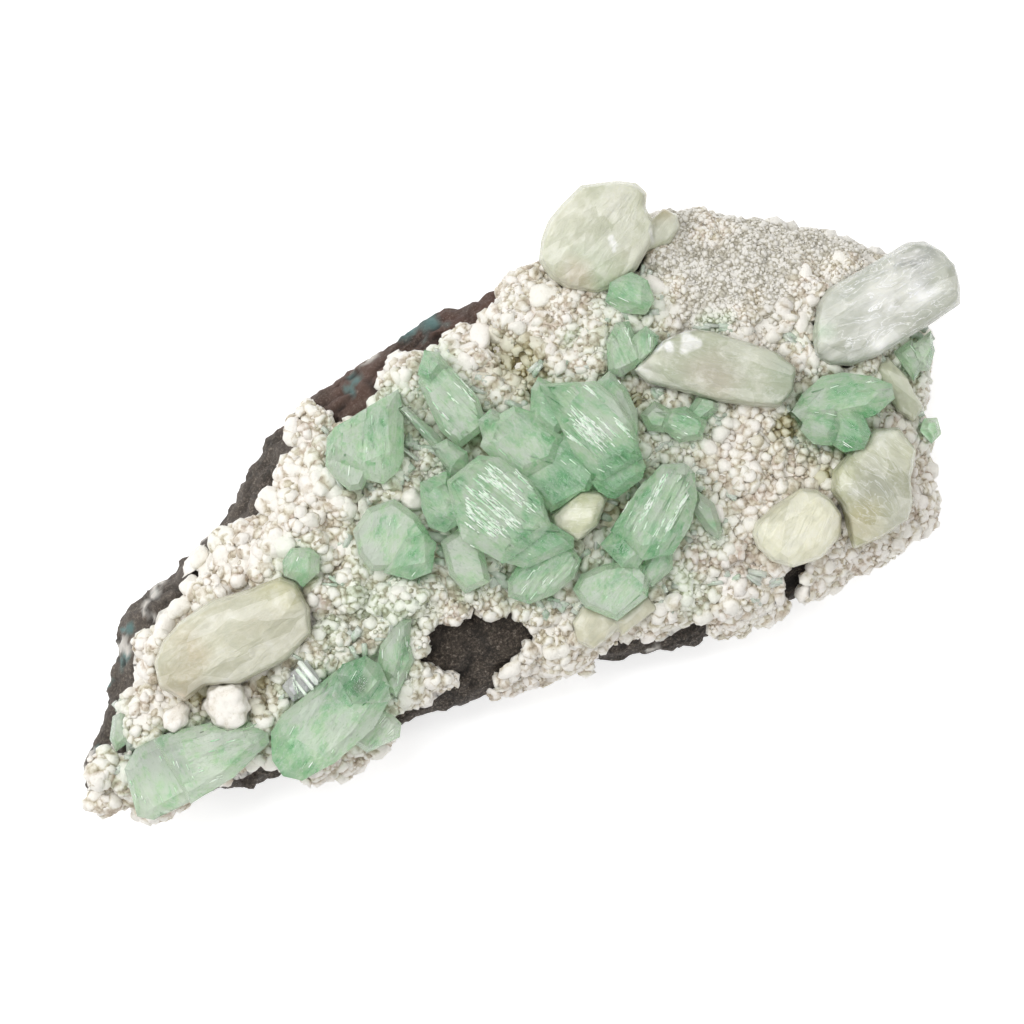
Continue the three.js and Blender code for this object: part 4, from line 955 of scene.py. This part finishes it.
def blade_form(tip):
    """A flat six-sided blade along the first axis, one unit from its middle to each side, its tip narrow."""
    bpy.ops.mesh.primitive_cylinder_add(
        vertices=6, radius=1, depth=2, location=(0, 0, 0), rotation=(0, math.pi / 2, 0))
    blade = bpy.context.object
    bpy.ops.object.transform_apply(rotation=True)
    for polygon in blade.data.polygons:
        polygon.select = polygon.normal.x > 0.9
    bpy.ops.object.mode_set(mode="EDIT")
    bpy.ops.mesh.select_mode(type="FACE")
    bpy.ops.transform.resize(value=(1, tip, tip))
    bpy.ops.object.mode_set(mode="OBJECT")
    edited(blade, (bpy.ops.mesh.quads_convert_to_tris, {}))
    return form_of(blade)


def over(low, high, x, y):
    """The point high over a box's plan at a share of its length and of its width."""
    return Vector((low[0] + x * (high[0] - low[0]), low[1] + y * (high[1] - low[1]), SKY))


def plan_area(low, high):
    """The area of a box's plan in square mm."""
    return (high[0] - low[0]) * (high[1] - low[1]) / MM**2


def seats_on_prisms(density, seed, margin):
    """Places on the prisms' upper faces and a margin away from their ends, with the face's normal and the
    number of its row in the table."""
    random = np.random.default_rng(seed)
    found = []
    for name in APOPHYLLITES:
        low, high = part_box("apophyllite_" + name)
        tree = tree_of(["apophyllite_" + name])
        rows = [i for i, row in enumerate(EVERY_ROW) if row[0] == name]
        for x, y, chance in random.random((int(plan_area(low, high) * density), 3)):
            at = over(low, high, x, y)
            hit, normal, _, _ = tree.ray_cast(at, DOWN)
            if hit is None or normal.z < 0.3:
                continue
            row = min(rows, key=lambda i: math.hypot(*(ROW_TABLE[i, :2] - (hit.x / MM, hit.y / MM))))
            angle = math.radians(ROW_TABLE[row, 2])
            step = Vector((math.cos(angle), math.sin(angle), 0)) * margin * MM
            ends = [tree.ray_cast(at + way * step, DOWN)[0] for way in (-1, 1)]
            if any(end is None or abs(end.z - hit.z) > 0.6 * margin * MM for end in ends):
                continue
            if chance < ROW_TABLE[row, 3]:
                found.append((*hit, *normal, row))
    found = np.array(found)
    return found[:, :3], found[:, 3:6], found[:, 6].astype(int)


def seats_round_prisms(density, seed, reach):
    """Places on the crust close beside a prism, with the direction away from it and the nearest row."""
    random = np.random.default_rng(seed)
    found = []
    for x, y in random.random((int(plan_area(*cad_box) * density), 2)):
        at = over(*cad_box, x, y)
        ground, normal, _, _ = crust_tree.ray_cast(at, DOWN)
        if ground is None or normal.z < 0.3 or crystal_tree.ray_cast(at, DOWN)[0] is not None:
            continue
        near, _, _, distance = prism_tree.find_nearest(ground + 2 * MM * UP)
        if distance > reach * MM:
            continue
        away = ground - near
        away.z = 0
        away.normalize()
        row = int(np.argmin(np.hypot(ROW_TABLE[:, 0] - ground.x / MM, ROW_TABLE[:, 1] - ground.y / MM)))
        found.append((*ground, *away, row))
    found = np.array(found)
    return found[:, :3], found[:, 3:6], found[:, 6].astype(int)


def plate_form():
    """A long six-sided plate with flat faces, one unit from its middle to each side."""
    angles = np.radians([0, 35, 145, 180, 215, 325])
    ring = np.stack([np.cos(angles), 2 * np.sin(angles), 0 * angles + 1], axis=1)
    corners = [[0, j + 1, j] for j in range(1, 5)] + [[6, 6 + j, 7 + j] for j in range(1, 5)]
    for i in range(6):
        j = (i + 1) % 6
        corners += [[i, j, 6 + j], [i, 6 + j, 6 + i]]
    return np.concatenate([ring * (1, 1, -1), ring]), np.array(corners)


def blades(name, form, places, ups, alongs, greens, milks, sizes, seed, twist, material):
    """Copies of a form along given directions, each twisted about its length in degrees. A size is a range in
    mm or one number for each copy: length, width and thickness."""
    random = np.random.default_rng(seed)
    count = len(places)
    alongs = unit(alongs)
    across = unit(np.cross(ups, alongs))
    turn = np.radians(random.uniform(-twist, twist, count))[:, None]
    above = np.cross(alongs, across)
    sides = across * np.cos(turn) + above * np.sin(turn)
    frames = np.stack([alongs, sides, np.cross(alongs, sides)], axis=1)
    spans = [random.uniform(*size, count) if len(size) == 2 else size for size in sizes]
    scales = np.stack([span * MM / 2 for span in spans], axis=1)
    piece, _ = joined(name, form, places, frames, scales, seed, 0.06)
    run = form[0][None] * scales[:, None] / MM + random.uniform(-50, 50, (count, 1, 3))
    attribute(piece, "run", run.reshape(-1, 3))
    attribute(piece, "green", np.repeat(greens + random.uniform(-0.2, 0.2, count), len(form[0])))
    attribute(piece, "milk", np.repeat(milks + random.uniform(-0.2, 0.3, count), len(form[0])))
    piece.data.materials.append(material)
    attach(piece, "root")


def along_rows(rows, normals, seed, swing, pitch):
    """The direction of each row's grooves, swung and pitched at random in degrees, lying in the face."""
    random = np.random.default_rng(seed)
    angle = np.radians(ROW_TABLE[rows, 2] + random.uniform(-swing, swing, len(rows)))
    climb = np.tan(np.radians(random.uniform(-pitch, pitch, len(rows))))
    flat = np.stack([np.cos(angle), np.sin(angle), climb], axis=1)
    flat *= random.choice([-1, 1], len(rows))[:, None]
    return flat - normals * (flat * normals).sum(axis=1, keepdims=True) * 0.9


def row_frame(places, rows):
    """Where places lie along and across the prism of each one's row, in metres."""
    angle = np.radians(ROW_TABLE[rows, 2])
    offset = places[:, :2] - ROW_TABLE[rows, :2] * MM
    return np.stack([offset[:, 0] * np.cos(angle) + offset[:, 1] * np.sin(angle),
                     offset[:, 1] * np.cos(angle) - offset[:, 0] * np.sin(angle), 0.03 * rows], axis=1)


at, normal, row = seats_on_prisms(0.25, 501, 3.2)
blades("apophyllite_ribs", blade_form(0.35), at - normal * 0.12 * MM, normal,
       along_rows(row, normal, 502, 7, 3), ROW_TABLE[row, 4], ROW_TABLE[row, 5],
       ((2.0, 7.0), (0.35, 0.95), (0.4, 0.7)), 503, 18, mint)
# White dashes that line up in wavy streaks: painted highlight streaks along the prisms' grooves.
at, normal, row = seats_on_prisms(8, 521, 1.0)
random = np.random.default_rng(526)
streaks = smooth_noise(row_frame(at, row), np.array([8, 0.6, 9]) * MM, 524)
streaks += 0.35 * smooth_noise(at, 9 * MM, 525)
chosen = (streaks > 0.2) & (random.random(len(row)) < np.maximum(1.3 * ROW_TABLE[row, 3] - 0.5, 0.06))
at, normal, row = at[chosen], normal[chosen], row[chosen]
tilted = random.normal((0, 0.04, 1), (0.11, 0.11, 0), at.shape)
blades("apophyllite_cleavage_highlight_flakes", plate_form(), at + normal * 0.05 * MM, tilted,
       along_rows(row, tilted, 522, 6, 0), random.uniform(-0.2, 1, len(row)),
       random.uniform(-0.2, 0.6, len(row)), ((0.4, 2.4), (0.05, 0.2), (0.2, 0.3)), 523, 1, pearly)
# Bright split faces of the two water-clear plates, painted white as highlights: x, y, length and width in mm.
SPLITS = np.array([
    (-47.6, -8.9, 6.4, 0.9), (-48.8, -9.6, 5.6, 0.6), (-50.6, -10.4, 5.0, 0.5), (-46.6, -8.4, 4.0, 0.3),
])
high = [Vector((x * MM, y * MM, SKY)) for x, y, *_ in SPLITS]
at = np.array([prism_tree.ray_cast(start, DOWN)[0] or crust_tree.ray_cast(start, DOWN)[0] for start in high])
tilted = np.tile((-0.2, 0.25, 0.95), (len(at), 1))
along = np.tile((math.cos(math.radians(103)), math.sin(math.radians(103)), 0), (len(at), 1))
blades("apophyllite_bright_plates", plate_form(), at + tilted * 0.3 * MM, tilted,
       along - tilted * (along @ tilted[0])[:, None], np.zeros(len(at)), np.full(len(at), 0.3),
       (SPLITS[:, 2], SPLITS[:, 3], np.full(len(at), 0.3)), 528, 4, pearly)
# Chips round the prisms' feet.
at, away, row = seats_round_prisms(0.16, 531, 1.6)
random = np.random.default_rng(532)
lean = away * random.uniform(0.2, 0.9, (len(at), 1)) + random.normal(0, 0.5, (len(at), 3))
lean[:, 2] = random.uniform(0.1, 0.6, len(at))
blades("apophyllite_splinters", blade_form(0.6), at + 0.5 * MM * lean, away * 0.4 + np.array([0, 0, 1]), lean,
       0.5 * ROW_TABLE[row, 4], ROW_TABLE[row, 5] + 0.3, ((1.5, 3.4), (1.2, 2.6), (1.0, 1.8)),
       533, 30, frosted)

# Crystals too small for a solid of their own: x, y in mm, length, width and height, the direction and the
# steepness of the longest side in degrees, how green and how milky. Several rows fill a nook together.
SMALL_CRYSTALS = [
    (-29.6, 9.4, 3.4, 3.0, 3.0, 30, 10, 0.3, 0.0), (-41.5, -5.4, 5.5, 3.6, 2.4, 60, 8, 0.35, 0.3),
    (-37, -6.6, 5.0, 3.4, 2.2, 20, 6, 0.3, 0.4), (-46.4, -6.2, 4.6, 1.6, 2.0, 75, 12, 0.1, 0.0),
    (-28.6, -8.6, 7.0, 2.2, 2.6, 62, 10, 0.3, 0.4), (-7.6, -11, 6.0, 4.0, 2.6, -70, 12, 0.4, 0.4),
    (-12.8, 1.6, 6.4, 3.6, 3.0, -58, 8, 0.5, 0.3), (-5.6, 16.6, 6.0, 2.2, 2.6, -50, 12, 0.4, 0.3),
    (-1.2, 17.4, 7.5, 1.8, 2.6, -74, 8, 0.2, 0.5), (-8.2, 18.4, 7.0, 1.3, 2.4, -48, 10, 0.1, 0.9),
    (6.6, 21.8, 5.4, 3.0, 2.4, -60, 8, 0.2, 0.6), (9.2, 23.6, 4.6, 3.4, 2.2, -60, 5, 0.0, 1.0),
    (19, 19.6, 4.6, 2.4, 2.0, 10, 10, 0.3, 0.3), (23.5, 18, 5.0, 2.0, 2.0, -20, 12, 0.25, 0.4),
    (27, 15.4, 4.4, 2.2, 2.2, -40, 10, 0.3, 0.4), (32, 20, 6.5, 2.4, 2.6, -80, 10, 0.15, 0.6),
    (32.4, 12.6, 5.5, 3.0, 2.4, -70, 8, 0.35, 0.4), (12, 16.4, 4.2, 2.4, 2.6, -50, 12, 0.5, 0.2),
    (19.6, -9.6, 3.6, 2.4, 2.4, -30, 14, 0.3, 0.4), (12.6, -15.4, 5.0, 2.6, 2.4, 40, 10, 0.5, 0.3),
    (7.4, -17.4, 5.4, 3.0, 2.2, 20, 8, 0.3, 0.5), (-3.6, -20.6, 5.4, 3.2, 2.2, -70, 14, 0.25, 0.5),
    (0.4, -21.8, 5.0, 2.8, 2.2, -60, 12, 0.3, 0.4), (3.4, -24, 4.4, 2.4, 2.2, -65, 12, 0.2, 0.6),
    (18.4, -31, 5.6, 3.4, 2.0, -75, 14, 0.6, 0.1), (25.4, -27, 4.4, 2.8, 2.0, -60, 10, 0.3, 0.4),
    (22, -30, 4.0, 2.6, 2.0, -40, 12, 0.3, 0.5), (31.5, -33.4, 6.0, 2.6, 2.2, -40, 10, 0.3, 0.5),
    (35, -36.2, 7.0, 2.4, 2.2, -48, 12, 0.25, 0.6), (38.4, -38.8, 5.0, 2.6, 2.0, -30, 10, 0.2, 0.6),
    (33.4, -39.4, 5.0, 2.2, 2.0, -50, 12, 0.35, 0.5), (37.4, -15.6, 4.6, 3.2, 1.8, -50, 6, 0.1, 0.7),
    (39.4, -20, 4.0, 2.6, 1.6, -60, 8, 0.1, 0.8), (51.6, 10.4, 4.6, 2.2, 2.2, -30, 10, 0.2, 0.4),
    (55.2, 8.6, 5.0, 2.6, 2.4, -34, 8, 0.3, 0.3), (58.6, 5.4, 4.2, 2.4, 2.2, -40, 12, 0.25, 0.4),
    (64.6, 1.4, 5.0, 2.6, 2.4, -80, 10, 0.6, 0.1), (66, -2.6, 4.0, 2.4, 2.2, -60, 12, 0.5, 0.2),
    (73, 2.6, 4.4, 3.0, 2.6, -70, 20, 0.4, 0.3), (80, -13, 5.6, 3.2, 2.2, -50, 8, 0.15, 0.6),
    (87, -9.6, 6.0, 2.4, 2.6, -72, 10, 0.3, 0.4), (89.4, -12.6, 5.0, 2.0, 2.4, -78, 8, 0.5, 0.2),
    (59.4, -19.6, 4.6, 3.0, 2.4, -40, 10, 0.3, 0.4), (63, -25.6, 3.6, 2.8, 2.0, -30, 10, 0.1, 0.7),
    (70.6, -12.6, 5.0, 3.0, 2.6, -20, 8, 0.3, 0.3), (37.6, 4.2, 4.2, 2.6, 2.2, -50, 10, 0.5, 0.2),
    (44.6, -5.6, 4.0, 2.4, 2.0, -40, 8, 0.2, 0.6), (33.4, -5.6, 4.4, 3.0, 2.0, -50, 6, 0.15, 0.6),
    (-34.6, 3.6, 4.4, 2.2, 2.0, -60, 12, 0.4, 0.3), (-85.6, -3.6, 4.0, 3.0, 2.4, 60, 10, 0.2, 0.6),
    (-60.2, -13.2, 4.6, 2.8, 2.6, 60, 10, 0.5, 0.3),
]
random = np.random.default_rng(552)
table = np.repeat(np.array(SMALL_CRYSTALS), 3, axis=0)
table[:, :2] += random.normal(0, 0.16, (len(table), 2)) * table[:, 2:4]
table[:, 2:5] *= random.uniform((0.4, 0.5, 0.7), (0.75, 0.9, 1.1), (len(table), 3))
table[:, 5:7] += random.normal(0, (16, 12), (len(table), 2))
at, up = on_crust(table[:, :2])
turn, climb = np.radians(table[:, 5:7]).T
alongs = np.stack([np.cos(turn) * np.cos(climb), np.sin(turn) * np.cos(climb), np.sin(climb)], axis=1)
blades("apophyllite_small_crystals", blade_form(0.65), at + up * 0.2 * MM, up, alongs, 0.7 * table[:, 7],
       table[:, 8], table[:, 2:5].T, 551, 25, frosted)

# ---------------------------------------------------------------- stilbite sheaves
# Cream sheaves of fine fibres, domed and broken into flat cleavage faces, pearly where they are split. A row
# is the direction of the fibres in degrees, how deep they show, how many faces are split off, how far the
# crust's lumps have grown over it, how many white wisps of painted pearly sheen are in it, and the sheaf's
# own two shades.
STILBITES = {
    "left": (2, 0.5, 7, 0.1, 0.1, "cfceb8", "c3bfa6"),
    "left_tail": (-70, 0.3, 0, 1.0, 0, "ece7df", "e2d9cd"),
    "left_lobe": (35, 0.3, 0, 1.0, 0, "ece6de", "e4dbcf"),
    "top": (20, 0.4, 7, 0.15, 0.15, "d2d2bd", "c4c7af"),
    "right": (-2, 1.0, 9, 0.1, 1.0, "d4d6ca", "9da298"),
    "middle": (-42, 0.7, 8, 0.1, 0.3, "c5c8b1", "aeb49d"),
    "disc": (30, 0.3, 5, 0.1, 0.15, "e6e5cf", "dfdcc2"),
    "lower_right": (-70, 0.7, 8, 0.2, 0.4, "cacbab", "b6b89a"),
    "slab": (-80, 0.6, 4, 0.3, 0.2, "ced0b9", "b9bfa2"),
    "block": (-25, 0.5, 5, 0.3, 0.4, "dadcc0", "c6caa6"),
    "low": (20, 0.4, 4, 0.4, 0.1, "d9d6c2", "cac7ae"),
}
# Places where a sheaf is stained or painted with light: x, y, reach in mm and the colour. The near-white
# spots are painted highlights and the dark grey patch on the right sheaf a painted shadow.
SHEAF_STAINS_AND_LIGHT = [
    (-71, 0, 5, "b9ad90"), (-66, 6, 4, "bfb598"), (-73, -3, 3, "e8e0d6"), (-70, -4, 2.5, "dfcbae"),
    (-44, 8, 4, "cbc8a2"), (37, 11, 3.4, "e6e6dc"), (42.6, 12.6, 1.3, "ffffff"),
    (44.6, 11.4, 0.9, "ffffff"), (47.4, 10.2, 1.1, "fdfdfa"), (61, -7, 5, "9aa78e"),
    (48, 2.4, 4, "bfb8a6"), (69, 0, 3, "b9cbb2"), (91.7, 1.5, 3.6, "a3a4a1"), (90.5, -3.8, 2.6, "ffffff"),
    (79, -8, 2.6, "fbfbf8"), (84, -2, 4, "e6e6e0"), (45.6, 34.4, 0.6, "fcfcf8"),
    (45.4, 33.2, 0.7, "fcfcf8"), (45, 32, 0.5, "fcfcf8"), (52, 31, 0.8, "f6f6f0"), (38, 29, 5, "b9c5a6"),
    (34, 31, 3, "c3b59a"), (57, 36, 3, "b9a780"), (65, -34, 5, "a3a596"), (58, -38, 4, "b4ad86"),
    (72, -25, 4, "c9ccb6"), (8, -6, 3, "dcd9c8"),
]
stilbites = []
for count, (name, (angle, depth, splits, lumpy, wisps, pale, deep)) in enumerate(STILBITES.items()):
    random = np.random.default_rng(600 + count)
    sheaf = free_copy("stilbite_" + name, "stilbite_sheaf_" + name)
    spin = np.array(Matrix.Rotation(math.radians(angle), 3, "Z"))
    size = min(sheaf.dimensions[:2]) / (16 * MM)
    for _ in range(splits):
        tilt = random.uniform(0.06, 0.5)
        normal = spin @ np.array([0.5 * random.normal() * tilt, random.choice([-1, 1]) * tilt, 1])
        normal /= np.linalg.norm(normal)
        reach = (points_of(sheaf)[0] @ normal).max() - random.uniform(0.15, 0.7) * size * MM
        above = {"plane_co": normal * reach, "plane_no": normal, "use_fill": True, "clear_outer": True}
        edited(sheaf, (bpy.ops.mesh.bisect, above))
    apply(sheaf, "REMESH", mode="VOXEL", voxel_size=0.4 * MM)
    apply(sheaf, "SMOOTH", factor=0.5, iterations=1)
    places, normals = points_of(sheaf)
    offset = (places - places.mean(axis=0)) @ spin
    fibre = smooth_noise(offset, np.array([9, 0.9, 1.2]) * MM, 300 + count)
    steps = smooth_noise(offset, np.array([14, 2.8, 3]) * MM, 330 + count)
    dents = smooth_noise(offset, 5 * MM, 360 + count)
    chips = np.clip(smooth_noise(offset, np.array([3, 1.5, 1.5]) * MM, 375 + count) - 0.45, 0, 1)
    knobs = np.abs(smooth_noise(places, 2.8 * MM, 376 + count))
    knobs += 0.35 * smooth_noise(places, 1.1 * MM, 377 + count)
    relief = depth * (0.1 * fibre + 0.14 * steps) + 0.06 * dents - 0.5 * chips + lumpy * (0.8 * knobs - 0.2)
    places += normals * (relief * MM)[:, None]
    put_points(sheaf, places)
    shade_smooth(sheaf)
    attribute(sheaf, "run", offset / MM + 23 * count)
    share = np.clip(0.5 + 0.5 * smooth_noise(offset, np.array([6, 3, 3]) * MM, 390 + count), 0, 1)[:, None]
    body = np.array(linear(pale)) * (1 - share) + np.array(linear(deep)) * share
    wander = strayed(places, 2, 4, 410)
    # Painted light and shade: near-white spots stand for highlights and the dark grey patch on the right
    # sheaf for a shadow; the others are stains.
    for x, y, reach, tint in SHEAF_STAINS_AND_LIGHT:
        stained_or_painted_light = 0.85 * blots(wander, [(x, y, reach)], 0.7 if reach > 2 else 0.2)[:, None]
        body = body * (1 - stained_or_painted_light) + np.array(linear(tint)) * stained_or_painted_light
    attribute(sheaf, "wisps", wisps * np.clip(0.6 + 0.8 * smooth_noise(places, 5 * MM, 430 + count), 0, 1))
    layer = sheaf.data.attributes.new("body", "FLOAT_COLOR", "POINT")
    layer.data.foreach_set("color", body.astype(np.float32).ravel())
    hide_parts("stilbite_" + name)
    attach(sheaf, "root")
    if lumpy == 1:
        # Painted light and shade: the lumps are whiter on top of their knobs and darker between them.
        attribute(sheaf, "crest", 0.42 + 0.45 * knobs)
        attribute(sheaf, "tone", 0.8 * smooth_noise(places, 4 * MM, 440 + count))
        for tint in TINTS:
            attribute(sheaf, tint, 0 * knobs)
        sheaf.data.materials.append(sugar)
    else:
        stilbites.append(sheaf)

# Stilbite, grown in sheaves: cream and translucent, silky along the fibres. Cleavage plates inside it catch
# the light differently, painted lighter and darker, with white wisps of painted sheen at their rims, thin
# brown cracks, and dark specks.
silk, silk_out = new_material("stilbite, cream sheaf")
run = add_node(silk, "ShaderNodeAttribute", {"attribute_name": "run"}).outputs["Vector"]
body = add_node(silk, "ShaderNodeAttribute", {"attribute_name": "body"})
split = add_node(silk, "ShaderNodeAttribute", {"attribute_name": "wisps"})
slim = add_node(silk, "ShaderNodeVectorMath", {"operation": "MULTIPLY", 1: (0.5, 2.2, 2.2)}, {0: run})
long = add_node(silk, "ShaderNodeVectorMath", {"operation": "MULTIPLY", 1: (0.1, 0.28, 0.28)}, {0: run})
fibres, swirl, clouds, grit = (
    add_node(silk, "ShaderNodeTexNoise", settings, {"Vector": source}).outputs["Fac"]
    for settings, source in (
        ({"Scale": 1.0, "Detail": 6, "Roughness": 0.7}, slim.outputs["Vector"]),
        ({"Scale": 1.6, "Detail": 5, "Roughness": 0.55, "Distortion": 1.2}, long.outputs["Vector"]),
        ({"Scale": 0.3, "Detail": 5, "Roughness": 0.65}, run),
        ({"Scale": 2.6, "Detail": 4, "Roughness": 0.7}, run),
    )
)
plates = add_node(silk, "ShaderNodeTexVoronoi", {"Scale": 1.4, "Randomness": 1.0},
                  {"Vector": long.outputs["Vector"]})
plate = add_node(silk, "ShaderNodeSeparateColor", {}, {"Color": plates.outputs["Color"]}).outputs["Red"]
rims, milky, sunken, lit_plate, dim_plate, pale, cracks, specks = (
    add_node(silk, "ShaderNodeValToRGB", {"ramp": ramp}, {"Fac": source}).outputs["Color"]
    for source, ramp in (
        (swirl, [(0.488, "000000"), (0.5, "ffffff"), (0.506, "ffffff"), (0.53, "000000")]),
        (clouds, [(0.5, "000000"), (0.66, "ffffff")]), (clouds, [(0.34, "ffffff"), (0.5, "000000")]),
        (plate, [(0.6, "000000"), (0.7, "ffffff")]), (plate, [(0.3, "ffffff"), (0.4, "000000")]),
        (fibres, [(0.56, "000000"), (0.74, "ffffff")]), (fibres, [(0.26, "ffffff"), (0.36, "000000")]),
        (grit, [(0.27, "ffffff"), (0.34, "000000")]),
    )
)
# Painted sheen: thin white wisps where the sheaf is split.
wisps = add_node(silk, "ShaderNodeMix", {"data_type": "RGBA", 6: linear("000000")},
                 {0: split.outputs["Fac"], 7: rims}).outputs[2]
colour = body.outputs["Color"]
for mask, share, tint in (
    (milky, 0.35, "efeee6"), (sunken, 0.3, "a9aa96"), (lit_plate, 0.22, "f3f2ea"),
    (dim_plate, 0.18, "a6a792"), (pale, 0.16, "f4f3ec"), (wisps, 0.8, "ffffff"),
    (cracks, 0.35, "7d7558"), (specks, 0.35, "6f6850"),
):
    part = add_node(silk, "ShaderNodeMath", {"operation": "MULTIPLY", 1: share}, {0: mask})
    colour = add_node(silk, "ShaderNodeMix", {"data_type": "RGBA", 7: linear(tint)},
                      {0: part.outputs["Value"], 6: colour}).outputs[2]
ribs = add_node(silk, "ShaderNodeBump", {"Strength": 0.4, "Distance": 0.1 * MM}, {"Height": fibres})
steps = add_node(silk, "ShaderNodeBump", {"Strength": 0.8, "Distance": 0.5 * MM},
                 {"Height": swirl, "Normal": ribs.outputs["Normal"]})
silk_shader = add_node(silk, "ShaderNodeBsdfPrincipled", {
    "Roughness": 0.2, "IOR": 1.5, "Subsurface Weight": 0.3, "Subsurface Radius": (1.0, 0.95, 0.7),
    "Subsurface Scale": 1.6 * MM, "Transmission Weight": 0.12},
    {"Base Color": colour, "Normal": steps.outputs["Normal"]})
silk.node_tree.links.new(silk_shader.outputs["BSDF"], silk_out.inputs["Surface"])
for sheaf in stilbites:
    sheaf.data.materials.append(silk)
